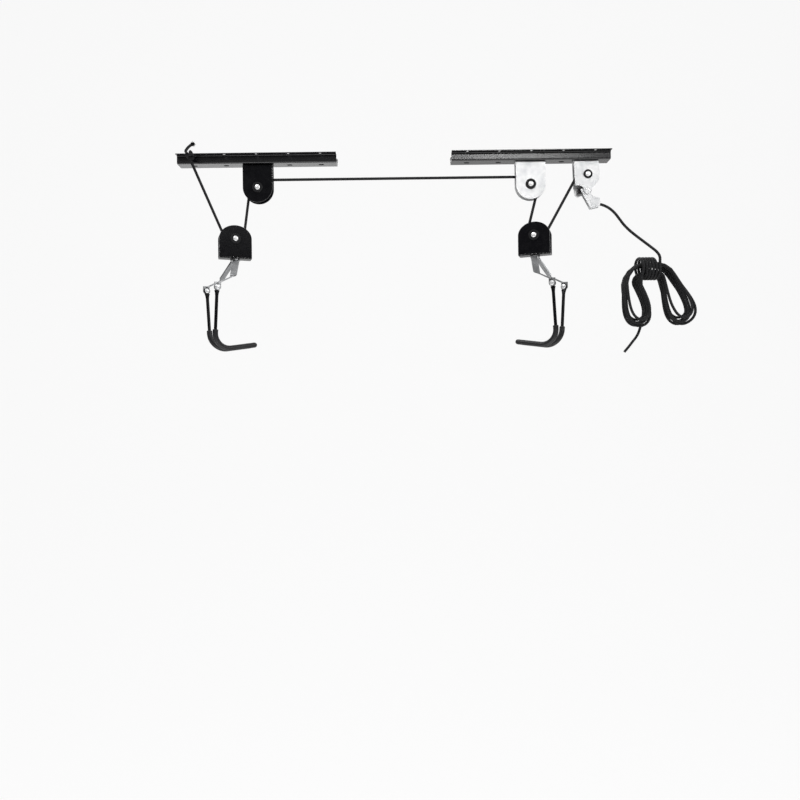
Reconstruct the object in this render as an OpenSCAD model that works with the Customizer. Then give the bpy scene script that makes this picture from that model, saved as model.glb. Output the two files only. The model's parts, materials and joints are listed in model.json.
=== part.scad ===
// Bike ceiling hoist: two ceiling rails, three rope brackets, two lifting blocks with swivel hooks,
// and one rope that runs from its knot on the rear rail to a hank beyond the rope lock.
// The origin is the centre of the rear rail on the ceiling plane. +X runs along the rails towards
// the front rail, +Y away from the viewer, +Z up into the ceiling.

/* [Rails] */
// Length of each ceiling rail
rail_l = 300; // [280:5:330]
// Height of the hat section
rail_h = 16; // [14:0.5:18]
// Width of the hat's crown, outside
rail_crown_w = 28; // [26:0.5:32]
// Width of each flange
rail_flange_w = 10; // [9:0.5:12]
// Sheet thickness of the rails
rail_t = 1.5; // [1.2:0.1:2]
// Distance between the screw holes along a rail
rail_hole_pitch = 60; // [50:2:64]
// Diameter of the screw holes in the flanges
rail_hole_d = 6; // [5.6:0.1:7]
// Length of the slots in the crown
rail_slot_l = 10; // [8:0.5:14]
// Distance between the two rails' centres
rail_span = 516; // [480:4:700]

/* [Brackets] */
// Width of a bracket plate
bracket_w = 56; // [50:1:60]
// Depth of the axle below the crown
bracket_drop = 44; // [40:1:50]
// Gap between the two plates of a bracket
bracket_gap = 13; // [12.4:0.2:15]
// Sheet thickness of the brackets
bracket_t = 2; // [1.6:0.1:2.5]
// Distance between the two fixing screws
bracket_screw_pitch = 36; // [32:1:40]
// Diameter of the fixing screws
screw_d = 5; // [4:0.5:6]

/* [Rope lock] */
// Distance of the lock bracket from the front rail's centre
lock_x = 108; // [100:1:116]
// Width of the lock bracket at the rail
lock_w = 46; // [42:1:48]
// Depth of the lock bracket's axle below the crown
lock_drop = 26.5; // [25:0.5:30]
// Depth of the lever's pivot below the lock axle
lever_drop = 29.5; // [28:0.5:32]
// Reach of the lever from its pivot to its mouth
lever_reach = 36; // [34:0.5:38]
// Bend radius of the rope round the lever's saddle
saddle_r = 13; // [12:0.5:14]
// Diameter of the lever's pivot pin
lever_pin_d = 4; // [3:0.5:4]

/* [Sheaves] */
// Radius of the rope's centre line on a sheave
sheave_pitch_r = 16; // [15:0.5:17]
// Diameter of a sheave over its flanges
sheave_d = 39; // [38:0.5:40]
// Width of a sheave
sheave_w = 11.6; // [11.2:0.1:11.8]
// Diameter of the axles
axle_d = 6; // [5:0.5:8]
// Diameter of an axle's riveted head
axle_head_d = 9.5; // [9:0.5:12]
// Diameter of the washers under the heads
washer_d = 20; // [16:1:22]
// Thickness of the washers
washer_t = 1.2; // [0.8:0.1:1.6]

/* [Rope] */
// Diameter of the rope
rope_d = 5; // [4:0.2:5.2]
// Length of the straight end that stands out of the knot
knot_end_l = 44; // [30:1:60]

/* [Blocks] */
// Width of a block's plate
block_w = 60; // [56:1:66]
// Depth of a block over its plates
block_depth = 25; // [24:0.5:28]
// Distance from the axle down to the underside of the block
block_below = 37; // [34:0.5:40]
// Distance from the axle up to the top of the plate
block_above = 25; // [23:0.5:28]
// Sheet thickness of the blocks
block_t = 2; // [1.6:0.1:2.5]
// Height from bracket axle to block axle with the hoist pulled up
block_drop = 97; // [90:1:140]
// Place of the rear block along the rail, from the rear rail's centre
rear_block_x = -46; // [-60:1:-36]
// Place of the front block along the rail, from the front rail's centre
front_block_x = 8; // [4:1:14]
// Turn of the blocks about the vertical
block_yaw = 20; // [0:1:25]
// Number of small holes along each fold
fold_holes = 8; // [5:1:8]
// Diameter of the small holes along a fold
fold_hole_d = 3; // [2:0.2:3.4]
// Distance between the small holes
fold_hole_pitch = 7; // [6:0.2:7]

/* [Hooks] */
// Turn of the hooks about the vertical, from the line of the rails
hook_azimuth = 35; // [20:1:50]
// Width of the hanger's strap
strap_w = 12; // [10:0.5:14]
// Thickness of the hanger's strap
strap_t = 2.5; // [2:0.1:3]
// Half the distance between the hanger's two arms
arm_half = 30; // [27:0.5:34]
// Diameter of the hook rods
rod_d = 6; // [5:0.5:7]
// Diameter of the rubber sleeves
sleeve_d = 10; // [9:0.5:12]
// Depth of the rods' rivets below the block
rod_top = 60; // [56:1:66]
// Depth of the cradle below the block, at the middle of the rods
cradle_depth = 170; // [160:1:190]
// Distance of the rods behind the swivel
rod_back = 46; // [42:1:50]
// Bend radius of the cradle
cradle_r = 28; // [24:1:32]
// Length of the cradle beyond its bend
cradle_l = 46; // [38:1:52]
// Rise of the cradle towards its tip, in degrees
cradle_rise = 9; // [4:1:14]

/* [Hank] */
// Number of loops in the hank
hank_loops = 6; // [3:1:6]
// Distance between neighbouring loops
hank_step = 6; // [5.8:0.1:6.5]
// Half length of a loop along its bent middle line
hank_half_l = 134; // [124:1:140]
// Number of turns wrapped round the hank's waist
hank_wraps = 5; // [3:1:5]

/* [Hidden] */
$fn = 48;

// Overrun of a cut past a face
cut = 1;
// Radial clearance of a shaft in its hole
fit = 0.05;
// Clearance between curved faces that lie against each other
ease = 0.3;
// Colours
black_coat = "#16171a";
zinc_coat = "#c9ccd0";
black_plastic = "#1b1b1d";
black_rope = "#101012";
black_rubber = "#1d1d1f";

// Places worked out from the sizes
rail_w = rail_crown_w + 2 * rail_flange_w;
rail_hole_y = rail_w / 2 - rail_flange_w / 2;
rail_hole_count = 5;
rope_r = rope_d / 2;
sheave_r = sheave_d / 2;
axle_r = axle_d / 2;
axle_z = -rail_h - bracket_drop;
block_z = axle_z - block_drop;
lock_centre = [rail_span + lock_x, 0, -rail_h - lock_drop];
rear_axle = [0, 0, axle_z];
front_axle = [rail_span, 0, axle_z];
rear_block = [rear_block_x, 0, block_z];
front_block = [rail_span + front_block_x, 0, block_z];
bracket_depth = bracket_gap + 2 * bracket_t;
block_gap = block_depth - 2 * block_t;
head_t = 2;

// The sheave's groove and the sheave itself, with its axis along Y
groove_r = rope_r + 2 * ease;
groove_turn = 120;
rim_t = 0.5;
hub_r = axle_r + fit;
groove_side = [
  groove_r * [cos(groove_turn), sin(groove_turn)],
  [sheave_r - sheave_pitch_r, sheave_w / 2 - rim_t],
  [sheave_r - sheave_pitch_r + cut, sheave_w / 2 - rim_t]
];
module sheave() {
  color(black_plastic)
    rotate([90, 0, 0])
      rotate_extrude()
        difference() {
          translate([hub_r, -sheave_w / 2]) square([sheave_r - hub_r, sheave_w]);
          translate([sheave_pitch_r, 0]) circle(r = groove_r);
          translate([sheave_pitch_r, 0])
            polygon([
              for (s = [1, -1], p = s > 0 ? groove_side : [groove_side[2], groove_side[1], groove_side[0]])
                [p.x, s * p.y]
            ]);
          for (s = [-1, 1])
            translate([(sheave_hub_r + sheave_web_r) / 2, s * sheave_w / 2])
              square([sheave_web_r - sheave_hub_r, 2 * sheave_dish], center = true);
        }
}
sheave_hub_r = 6.5;
sheave_web_r = 11.5;
sheave_dish = 1.5;

// An axle with a riveted head at each end, with its axis along Y
module axle(length, head_d = axle_head_d, d = axle_d) {
  color(zinc_coat)
    rotate([90, 0, 0]) {
      cylinder(d = d, h = length, center = true);
      for (s = [0, 1])
        mirror([0, 0, s])
          translate([0, 0, length / 2]) {
            cylinder(d = head_d, h = head_t / 2);
            translate([0, 0, head_t / 2])
              cylinder(d1 = head_d, d2 = head_d - head_t, h = head_t / 2);
          }
    }
}

// A pair of washers, outside faces that are one depth apart
module washer_pair(depth, d = washer_d) {
  color(black_plastic)
    for (s = [0, 1])
      mirror([0, s, 0])
        translate([0, -depth / 2, 0])
          rotate([90, 0, 0])
            difference() {
              cylinder(d = d, h = washer_t);
              translate([0, 0, -cut]) cylinder(r = hub_r, h = washer_t + 2 * cut);
            }
}

// A pair of spacers that keep a sheave in the middle of a gap
spacer_d = 11;
spacer_play = 0.1;
module spacer_pair(gap) {
  long = (gap - sheave_w) / 2 - 2 * spacer_play;
  color(zinc_coat)
    for (s = [0, 1])
      mirror([0, s, 0])
        translate([0, -gap / 2 + spacer_play, 0])
          rotate([-90, 0, 0])
            difference() {
              cylinder(d = spacer_d, h = long);
              translate([0, 0, -cut]) cylinder(r = hub_r, h = long + 2 * cut);
            }
}

// Rails
screw_hole_r = screw_d / 2 + fit;
slot_w = 6;
function rail_hole_x(i) = (i - (rail_hole_count - 1) / 2) * rail_hole_pitch;

module rail(x, fixings) {
  color(black_coat)
    difference() {
      translate([x, 0, 0])
        rotate([90, 0, 90])
          linear_extrude(rail_l, center = true)
            polygon([
              [-rail_w / 2, 0], [-rail_w / 2, -rail_t],
              [-rail_crown_w / 2, -rail_t], [-rail_crown_w / 2, -rail_h],
              [rail_crown_w / 2, -rail_h], [rail_crown_w / 2, -rail_t],
              [rail_w / 2, -rail_t], [rail_w / 2, 0],
              [rail_crown_w / 2 - rail_t, 0], [rail_crown_w / 2 - rail_t, -rail_h + rail_t],
              [-rail_crown_w / 2 + rail_t, -rail_h + rail_t], [-rail_crown_w / 2 + rail_t, 0]
            ]);
      for (i = [0 : rail_hole_count - 1], s = [-1, 1])
        translate([x + rail_hole_x(i), s * rail_hole_y, -rail_t - cut])
          cylinder(d = rail_hole_d, h = rail_t + 2 * cut);
      for (i = [0 : rail_hole_count - 1])
        translate([x + rail_hole_x(i), 0, -rail_h - cut])
          linear_extrude(rail_t + 2 * cut) {
            square([rail_slot_l - slot_w, slot_w], center = true);
            for (s = [-1, 1])
              translate([s * (rail_slot_l - slot_w) / 2, 0]) circle(d = slot_w);
          }
      for (at = fixings)
        translate([at, 0, -rail_h - cut]) cylinder(r = screw_hole_r, h = rail_t + 2 * cut);
    }
}
rear_fixings = [-bracket_screw_pitch / 2, bracket_screw_pitch / 2];
lock_screw_pitch = 28;
lock_lean = 3;
lock_screw_middle = lock_x - lock_lean;
front_fixings = [
  rail_span - bracket_screw_pitch / 2, rail_span + bracket_screw_pitch / 2,
  rail_span + lock_screw_middle - lock_screw_pitch / 2,
  rail_span + lock_screw_middle + lock_screw_pitch / 2
];
module rear_rail() { rail(0, rear_fixings); }
module front_rail() { rail(rail_span, front_fixings); }

// Plain brackets: an inverted U with round lower ends
module bracket(x, finish) {
  color(finish)
    translate([x, 0, 0])
      difference() {
        union() {
          for (s = [-1, 1])
            translate([0, s * (bracket_gap + bracket_t) / 2, 0])
              rotate([90, 0, 0])
                linear_extrude(bracket_t, center = true) {
                  translate([0, axle_z]) circle(d = bracket_w);
                  translate([-bracket_w / 2, axle_z]) square([bracket_w, bracket_drop]);
                }
          translate([-bracket_w / 2, -bracket_depth / 2, -rail_h - bracket_t])
            cube([bracket_w, bracket_depth, bracket_t]);
        }
        translate([0, 0, axle_z])
          rotate([90, 0, 0]) cylinder(r = hub_r, h = bracket_depth + 2 * cut, center = true);
        for (at = rear_fixings)
          translate([at, 0, -rail_h - bracket_t - cut])
            cylinder(r = screw_hole_r, h = bracket_t + 2 * cut);
      }
}
module rear_bracket() { bracket(0, black_coat); }
module front_bracket() { bracket(rail_span, zinc_coat); }

// Lock bracket: plates with a slanted right edge and a narrow lower end that holds the lever.
// The outlines are shares of the bracket's width and of the depth from its axle to its lower end.
lock_below = 37.5;
lock_left_share = 0.565;
lock_front_shares = [
  [0.49, -0.08], [0.457, -0.29], [0.15, -0.77], [0.085, -0.93], [-0.02, -1], [-0.12, -0.95],
  [-0.165, -0.8], [-0.185, -0.68], [-0.315, -0.573], [-0.52, -0.56]
];
lock_back_shares = [
  [0.49, -0.08], [0.457, -0.29], [0.15, -0.77], [0.085, -0.93], [-0.02, -1], [-0.16, -0.98],
  [-0.27, -1.02], [-0.34, -1.08], [-0.43, -1.04], [-0.49, -0.9], [-0.53, -0.56]
];
lever_lean = 1.7;
lever_pivot = lock_centre + [-lever_lean, 0, -lever_drop];
function lock_outline(shares) = concat(
  [[-lock_left_share * lock_w, lock_drop], [(1 - lock_left_share) * lock_w, lock_drop]],
  [for (p = shares) [p.x * lock_w, p.y * lock_below]]
);
module lock_bracket() {
  color(zinc_coat)
    difference() {
      translate(lock_centre) {
        for (side = [[-1, lock_front_shares], [1, lock_back_shares]])
          translate([0, side[0] * (bracket_gap + bracket_t) / 2, 0])
            rotate([90, 0, 0])
              linear_extrude(bracket_t, center = true) polygon(lock_outline(side[1]));
        translate([-lock_left_share * lock_w, -bracket_depth / 2, lock_drop - bracket_t])
          cube([lock_w, bracket_depth, bracket_t]);
      }
      translate(lock_centre)
        rotate([90, 0, 0]) cylinder(r = hub_r, h = bracket_depth + 2 * cut, center = true);
      translate(lever_pivot)
        rotate([90, 0, 0])
          cylinder(r = lever_pin_d / 2 + fit, h = bracket_depth + 2 * cut, center = true);
      for (s = [-1, 1])
        translate([
          rail_span + lock_screw_middle + s * lock_screw_pitch / 2, 0, -rail_h - bracket_t - cut
        ])
          cylinder(r = screw_hole_r, h = bracket_t + 2 * cut);
    }
}

// Screws from below through web and crown, with nuts inside the rail
screw_head_d = 9;
screw_head_t = 2.4;
screw_end = 1.5;
nut_w = 8;
nut_t = 4;
module bracket_screws() {
  color(zinc_coat)
    for (at = concat(rear_fixings, front_fixings))
      translate([at, 0, -rail_h - bracket_t]) {
        cylinder(d = screw_d, h = bracket_t + rail_t + nut_t + screw_end);
        translate([0, 0, -screw_head_t])
          difference() {
            union() {
              translate([0, 0, screw_head_t / 2]) cylinder(d = screw_head_d, h = screw_head_t / 2);
              cylinder(d1 = screw_head_d - screw_head_t, d2 = screw_head_d, h = screw_head_t / 2);
            }
            for (a = [0, 90])
              rotate([0, 0, a])
                cube([screw_head_d / 2, screw_slot_w, screw_head_t], center = true);
          }
      }
}
screw_slot_w = 1.1;
module bracket_nuts() {
  color(zinc_coat)
    for (at = concat(rear_fixings, front_fixings))
      translate([at, 0, -rail_h + rail_t])
        difference() {
          cylinder(d = nut_w / cos(30), h = nut_t, $fn = 6);
          translate([0, 0, -cut]) cylinder(r = screw_hole_r, h = nut_t + 2 * cut);
        }
}

// Axles, washers, spacers and sheaves of the brackets
bracket_stack = bracket_depth + 2 * washer_t;
module rear_bracket_axle() { translate(rear_axle) axle(bracket_stack); }
module front_bracket_axle() { translate(front_axle) axle(bracket_stack); }
module lock_axle() { translate(lock_centre) axle(bracket_stack); }
module rear_bracket_washers() { translate(rear_axle) washer_pair(bracket_depth); }
module front_bracket_washers() { translate(front_axle) washer_pair(bracket_depth); }
module lock_washers() { translate(lock_centre) washer_pair(bracket_depth, lock_washer_d); }
lock_washer_d = 17;
module bracket_spacers() {
  for (at = [rear_axle, front_axle, lock_centre]) translate(at) spacer_pair(bracket_gap);
}
module rear_bracket_sheave() { translate(rear_axle) sheave(); }
module front_bracket_sheave() { translate(front_axle) sheave(); }
module lock_sheave() { translate(lock_centre) sheave(); }

// The lever of the rope lock: two cheeks, a bent saddle between them and a lip under the rope.
// The cheeks' outlines are shares of the lever's reach, from its pivot.
lever_gap = 8;
lever_t = 1.5;
lever_top_r = 5.6;
saddle_x_share = 0.475;
saddle_z_share = -0.29;
saddle = lever_pivot + [saddle_x_share * lever_reach, 0, saddle_z_share * lever_reach];
saddle_start = 188;
saddle_end = 257;
lip_below = rope_r + 2 * ease;
lever_front_shares = [
  [0.17, 0.06], [-0.05, 0.15], [-0.33, 0.06], [-0.3, -0.04], [0.2, -0.97], [0.66, -0.87],
  [0.72, -0.6], [0.42, -0.54], [0.28, -0.48], [0.2, -0.34], [0.19, -0.2]
];
lever_back_shares = [
  [0.17, 0.06], [-0.05, 0.15], [-0.33, 0.06], [-0.3, -0.04], [0.2, -0.97], [0.66, -0.87],
  [0.78, -0.34], [0.52, -0.3], [0.34, -0.18], [0.24, -0.02]
];
function along(a) = [-sin(a), 0, cos(a)];
function outward(a) = [cos(a), 0, sin(a)];
exit_l = 11;
saddle_out = saddle + saddle_r * outward(saddle_end);
rope_exit = saddle_out + exit_l * along(saddle_end);

module lock_lever() {
  strip_r = saddle_r - rope_r - ease;
  color(zinc_coat)
    difference() {
      union() {
        for (side = [[-1, lever_front_shares], [1, lever_back_shares]])
          translate(lever_pivot + [0, side[0] * (lever_gap + lever_t) / 2, 0])
            rotate([90, 0, 0])
              linear_extrude(lever_t, center = true) {
                polygon([for (p = side[1]) p * lever_reach]);
                circle(r = lever_top_r);
              }
        translate(saddle)
          rotate([90, 0, 0])
            rotate([0, 0, saddle_start])
              rotate_extrude(angle = saddle_end - saddle_start)
                translate([strip_r - lever_t, -(lever_gap + lever_t) / 2])
                  square([lever_t, lever_gap + lever_t]);
        translate(saddle + strip_r * outward(saddle_end))
          rotate([0, -saddle_end, 0])
            translate([-lever_t, -(lever_gap + lever_t) / 2, -lever_t])
              cube([lever_t, lever_gap + lever_t, exit_l + lever_t]);
        translate(saddle_out + lip_below * outward(saddle_end))
          rotate([0, -saddle_end, 0])
            translate([0, -(lever_gap + lever_t) / 2, -lip_back])
              cube([lever_t, lever_gap + lever_t, exit_l + lip_back]);
      }
      translate(lever_pivot)
        rotate([90, 0, 0])
          cylinder(r = lever_pin_d / 2 + fit, h = bracket_depth + 2 * cut, center = true);
    }
}
lip_back = 6;
lever_pin_head_d = 6.5;
module lock_pivot_pin() {
  translate(lever_pivot) axle(bracket_depth, lever_pin_head_d, lever_pin_d);
}

// The toothed cam between the lever's cheeks
cam_t = 7;
cam_hub_r = 3.9;
cam_l = 16;
cam_h = 9;
cam_teeth = 4;
cam_tooth_d = 1.6;
module lock_cam() {
  color(black_plastic)
    translate(lever_pivot)
      rotate([90, 0, 0])
        difference() {
          linear_extrude(cam_t, center = true) {
            circle(r = cam_hub_r);
            translate([-cam_l, -cam_hub_r]) square([cam_l, cam_hub_r + cam_rise]);
            translate([-cam_l, cam_rise - cam_h]) square([cam_l - cam_hub_r - lever_t, cam_h]);
          }
          cylinder(r = lever_pin_d / 2 + fit, h = cam_t + 2 * cut, center = true);
          for (i = [0 : cam_teeth - 1], s = [-1, 1])
            translate([-cam_l + (i + 1) * cam_tooth_pitch, cam_rise - cam_h / 2, s * cam_t / 2])
              rotate([90, 0, 0]) cylinder(d = cam_tooth_d, h = cam_h + 2 * cut, center = true);
        }
}
cam_rise = 3.9;
cam_tooth_pitch = 2.4;

// Blocks: a U of sheet, open at the top, with a row of small holes along each fold
block_top_steps = 20;
swivel_r = 4;
swivel_head_r = 7;
swivel_head_t = 2.5;
module block_frame(at, turn) { translate(at) rotate([0, 0, turn]) children(); }
module block_shell() {
  color(black_coat)
    difference() {
      union() {
        for (s = [-1, 1])
          translate([0, s * (block_gap + block_t) / 2, 0])
            rotate([90, 0, 0])
              linear_extrude(block_t, center = true) {
                translate([-block_w / 2, -block_below]) square([block_w, block_below]);
                polygon([
                  for (i = [0 : block_top_steps])
                    [cos(180 * i / block_top_steps) * block_w / 2,
                     sin(180 * i / block_top_steps) * block_above]
                ]);
              }
        translate([-block_w / 2, -block_depth / 2, -block_below])
          cube([block_w, block_depth, block_t]);
      }
      rotate([90, 0, 0]) cylinder(r = hub_r, h = block_depth + 2 * cut, center = true);
      translate([0, 0, -block_below - cut]) cylinder(r = swivel_r + fit, h = block_t + 2 * cut);
      for (i = [0 : fold_holes - 1], s = [-1, 1])
        translate([
          (i - (fold_holes - 1) / 2) * fold_hole_pitch, s * block_depth / 2, -block_below
        ])
          rotate([s * 45, 0, 0])
            cylinder(d = fold_hole_d, h = fold_hole_l, center = true);
    }
}
fold_hole_l = 14;
block_stack = block_depth + 2 * washer_t;
module rear_block_shell() { block_frame(rear_block, block_yaw) block_shell(); }
module front_block_shell() { block_frame(front_block, -block_yaw) block_shell(); }
module rear_block_axle() { block_frame(rear_block, block_yaw) axle(block_stack); }
module front_block_axle() { block_frame(front_block, -block_yaw) axle(block_stack); }
module rear_block_washers() { block_frame(rear_block, block_yaw) washer_pair(block_depth); }
module front_block_washers() { block_frame(front_block, -block_yaw) washer_pair(block_depth); }
module rear_block_spacers() { block_frame(rear_block, block_yaw) spacer_pair(block_gap); }
module front_block_spacers() { block_frame(front_block, -block_yaw) spacer_pair(block_gap); }
module rear_block_sheave() { block_frame(rear_block, block_yaw) sheave(); }
module front_block_sheave() { block_frame(front_block, -block_yaw) sheave(); }

// Hanger and hook, from the underside of a block, with the cradle's mouth towards +X
hanger_play = 0.3;
module swivel_rivet() {
  color(zinc_coat) {
    translate([0, 0, -hanger_play - strap_t])
      cylinder(r = swivel_r, h = hanger_play + strap_t + block_t);
    translate([0, 0, block_t]) cylinder(r = swivel_head_r, h = swivel_head_t);
    translate([0, 0, -hanger_play - strap_t - swivel_head_t])
      cylinder(r = swivel_head_r, h = swivel_head_t);
  }
}
module strap(a, b, width) {
  d = b - a;
  long = norm(d);
  translate(a)
    rotate([0, acos(d.z / long), atan2(d.y, d.x)])
      translate([-strap_t / 2, -width / 2, 0]) cube([strap_t, width, long]);
}
crease_back = 17;
crease_half = 32;
crease_drop = 38;
tab_h = 13;
hanger_disc_r = 9;
rod_play = 0.05;
paddle_t = 4;
paddle_r = 6;
rod_in = arm_half - strap_t / 2 - rod_play - paddle_t / 2;
module hanger() {
  color(zinc_coat)
    difference() {
      union() {
        translate([0, 0, -hanger_play - strap_t]) cylinder(r = hanger_disc_r, h = strap_t);
        for (s = [-1, 1]) {
          top = [0, s * strap_w / 2, -hanger_play - strap_t / 2];
          crease = [-crease_back, s * crease_half, -crease_drop];
          end = [-rod_back, s * arm_half, -rod_top + tab_h / 2];
          strap(top, crease, strap_w);
          strap(crease + (crease - end) * strap_t / norm(crease - end), end, strap_w);
          translate([-rod_back - strap_w / 2, s * arm_half - strap_t / 2, -rod_top])
            cube([strap_w, strap_t, tab_h / 2 + strap_t]);
          translate([-rod_back, s * arm_half, -rod_top])
            rotate([90, 0, 0]) cylinder(d = strap_w, h = strap_t, center = true);
        }
      }
      translate([0, 0, -hanger_play - strap_t - cut])
        cylinder(r = swivel_r + fit, h = strap_t + 2 * cut);
      translate([0, 0, -hanger_play]) cylinder(r = 2 * strap_w, h = strap_w);
      translate([0, 0, -hanger_play - strap_t - strap_w])
        cylinder(r = swivel_head_r + ease, h = strap_w);
      for (s = [-1, 1])
        translate([-rod_back, s * arm_half, -rod_top])
          rotate([90, 0, 0])
            cylinder(r = rivet_r + fit, h = strap_t + 2 * cut, center = true);
      for (s = [-1, 1])
        translate([-rod_back, s * (arm_half - strap_t / 2) - s * strap_w / 2, -rod_top])
          rotate([90, 0, 0])
            cylinder(r = paddle_r + ease, h = strap_w, center = true);
    }
}
rivet_r = 2.5;
rivet_head_r = 4.5;
rivet_head_t = 1.8;
module hook_rivets() {
  outer = arm_half + strap_t / 2;
  inner = rod_in - paddle_t / 2;
  color(zinc_coat)
    for (s = [0, 1])
      mirror([0, s, 0])
        translate([-rod_back, inner, -rod_top])
          rotate([-90, 0, 0]) {
            cylinder(r = rivet_r, h = outer - inner);
            translate([0, 0, outer - inner]) cylinder(r = rivet_head_r, h = rivet_head_t);
            translate([0, 0, -rivet_head_t]) cylinder(r = rivet_head_r, h = rivet_head_t);
          }
}

// A hook rod lies in a plane that leans inwards, so that the two cradles are closer together
cradle_half = 11;
rod_lean = atan((rod_in - cradle_half) / (cradle_depth - rod_top));
rod_straight = (cradle_depth - rod_top) / cos(rod_lean) - cradle_r;
rod_start = 8;
sleeve_lap = 6;
dome_turn = 75;
paddle_l = 11;
paddle_neck = 3.6;
module rod_plane(s) {
  translate([-rod_back, s * rod_in, -rod_top]) rotate([-s * rod_lean, 0, 0]) children();
}
// Stations along a rod: how far it reaches out, how deep it is, and how far it has turned
bend_step = 9;
rod_sides = 16;
dome_steps = 3;
rod_bend = 90 + cradle_rise;
rod_stations = concat(
  [[0, -rod_start, 0], [0, sleeve_lap - rod_straight, 0]],
  [for (a = [0 : bend_step : rod_bend])
    [cradle_r * (1 - cos(a)), -rod_straight - cradle_r * sin(a), a]]
);
rod_last = [cradle_r * (1 - cos(rod_bend)), -rod_straight - cradle_r * sin(rod_bend)];
function rod_tip(l) = [rod_last.x + l * sin(rod_bend), rod_last.y - l * cos(rod_bend), rod_bend];
function rod_ring(at, r) = [
  for (k = [0 : rod_sides - 1])
    let (t = 360 * k / rod_sides)
      [at[0] + r * cos(t) * cos(at[2]), -r * sin(t), at[1] + r * cos(t) * sin(at[2])]
];
module hook_rods() {
  color(black_coat)
    for (s = [-1, 1])
      difference() {
        union() {
          rod_plane(s)
            skin([for (at = concat(rod_stations, [rod_tip(cradle_l)])) rod_ring(at, rod_d / 2)]);
          translate([-rod_back, s * rod_in, -rod_top])
            rotate([90, 0, 0]) {
              cylinder(r = paddle_r, h = paddle_t, center = true);
              translate([-paddle_neck, -paddle_l, -paddle_t / 2])
                cube([2 * paddle_neck, paddle_l, paddle_t]);
            }
        }
        translate([-rod_back, s * rod_in, -rod_top])
          rotate([90, 0, 0])
            cylinder(r = rivet_r + fit, h = paddle_t + 2 * cut, center = true);
      }
}
module hook_sleeves() {
  covered = [for (i = [1 : len(rod_stations) - 1]) rod_stations[i]];
  sleeve_end = cradle_l + fit;
  color(black_rubber)
    for (s = [-1, 1])
      rod_plane(s)
        skin(concat(
          [rod_ring(rod_tip(sleeve_end), rod_d / 2 + fit)],
          [for (i = [len(covered) - 1 : -1 : 0]) rod_ring(covered[i], rod_d / 2 + fit)],
          [for (at = covered) rod_ring(at, sleeve_d / 2)],
          [for (i = [0 : dome_steps])
            let (a = dome_turn * i / dome_steps)
              rod_ring(rod_tip(sleeve_end + sleeve_d / 2 * sin(a)), sleeve_d / 2 * cos(a))]
        ));
}
module hook_frame(at, turn) {
  translate(at - [0, 0, block_below]) rotate([0, 0, turn]) children();
}
rear_turn = hook_azimuth;
front_turn = 180 - hook_azimuth;
module rear_swivel_rivet() { hook_frame(rear_block, rear_turn) swivel_rivet(); }
module front_swivel_rivet() { hook_frame(front_block, front_turn) swivel_rivet(); }
module rear_hanger() { hook_frame(rear_block, rear_turn) hanger(); }
module front_hanger() { hook_frame(front_block, front_turn) hanger(); }
module rear_hook_rivets() { hook_frame(rear_block, rear_turn) hook_rivets(); }
module front_hook_rivets() { hook_frame(front_block, front_turn) hook_rivets(); }
module rear_hook_rods() { hook_frame(rear_block, rear_turn) hook_rods(); }
module front_hook_rods() { hook_frame(front_block, front_turn) hook_rods(); }
module rear_hook_sleeves() { hook_frame(rear_block, rear_turn) hook_sleeves(); }
module front_hook_sleeves() { hook_frame(front_block, front_turn) hook_sleeves(); }

// The rope. Angles are in the plane of a sheave, from +X towards +Z.
module rope_line(a, b) {
  d = b - a;
  long = norm(d);
  translate(a)
    rotate([0, acos(d.z / long), atan2(d.y, d.x)]) cylinder(r = rope_r, h = long);
}
// A leg down to a block; it ends a little before the rope in the block, which turns with the block
leg_gap = 0.9;
module rope_leg(a, b) { rope_line(a, b - leg_gap * (b - a) / norm(b - a)); }
module rope_arc(at, turn, radius, from, to) {
  translate(at)
    rotate([90, 0, turn])
      rotate([0, 0, from])
        rotate_extrude(angle = to - from) translate([radius, 0]) circle(r = rope_r);
}
function on_sheave(at, turn, a) =
  at + sheave_pitch_r * [cos(a) * cos(turn), cos(a) * sin(turn), sin(a)];
// Angle at which a rope from a point touches a sheave, on the side given
function touch(at, turn, p, side) =
  let (u = (p.x - at.x) * cos(turn) + (p.y - at.y) * sin(turn), w = p.z - at.z)
    atan2(w, u) + side * acos(sheave_pitch_r / norm([u, w]));

knot_x = rail_hole_x(0);
knot_r = rope_r * 2 + ease;
knot_y = -rail_w / 2 - knot_r - rope_r - ease;
knot_turns = 1.5;
knot_pitch = 5.5;
anchor = [knot_x, knot_y, -knot_turns * knot_pitch - rope_d];
rear_in = touch(rear_block, block_yaw, anchor, 1);
rear_mid = (rear_block + rear_axle) / 2;
rear_out = touch(rear_block, block_yaw, rear_mid, -1);
rear_up = touch(rear_axle, 0, rear_mid, -1);
front_mid = (front_block + front_axle) / 2;
front_down = touch(front_axle, 0, front_mid, 1);
front_in = touch(front_block, -block_yaw, front_mid, 1);
lock_mid = (front_block + lock_centre) / 2;
front_out = touch(front_block, -block_yaw, lock_mid, -1);
lock_up = touch(lock_centre, 0, lock_mid, -1);
saddle_mid = lock_centre
  + (saddle - lock_centre) * sheave_pitch_r / (sheave_pitch_r + saddle_r);
lock_down = touch(lock_centre, 0, saddle_mid, 1);
saddle_in = let (u = saddle_mid.x - saddle.x, w = saddle_mid.z - saddle.z)
  atan2(w, u) + acos(saddle_r / norm([u, w]));

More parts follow.
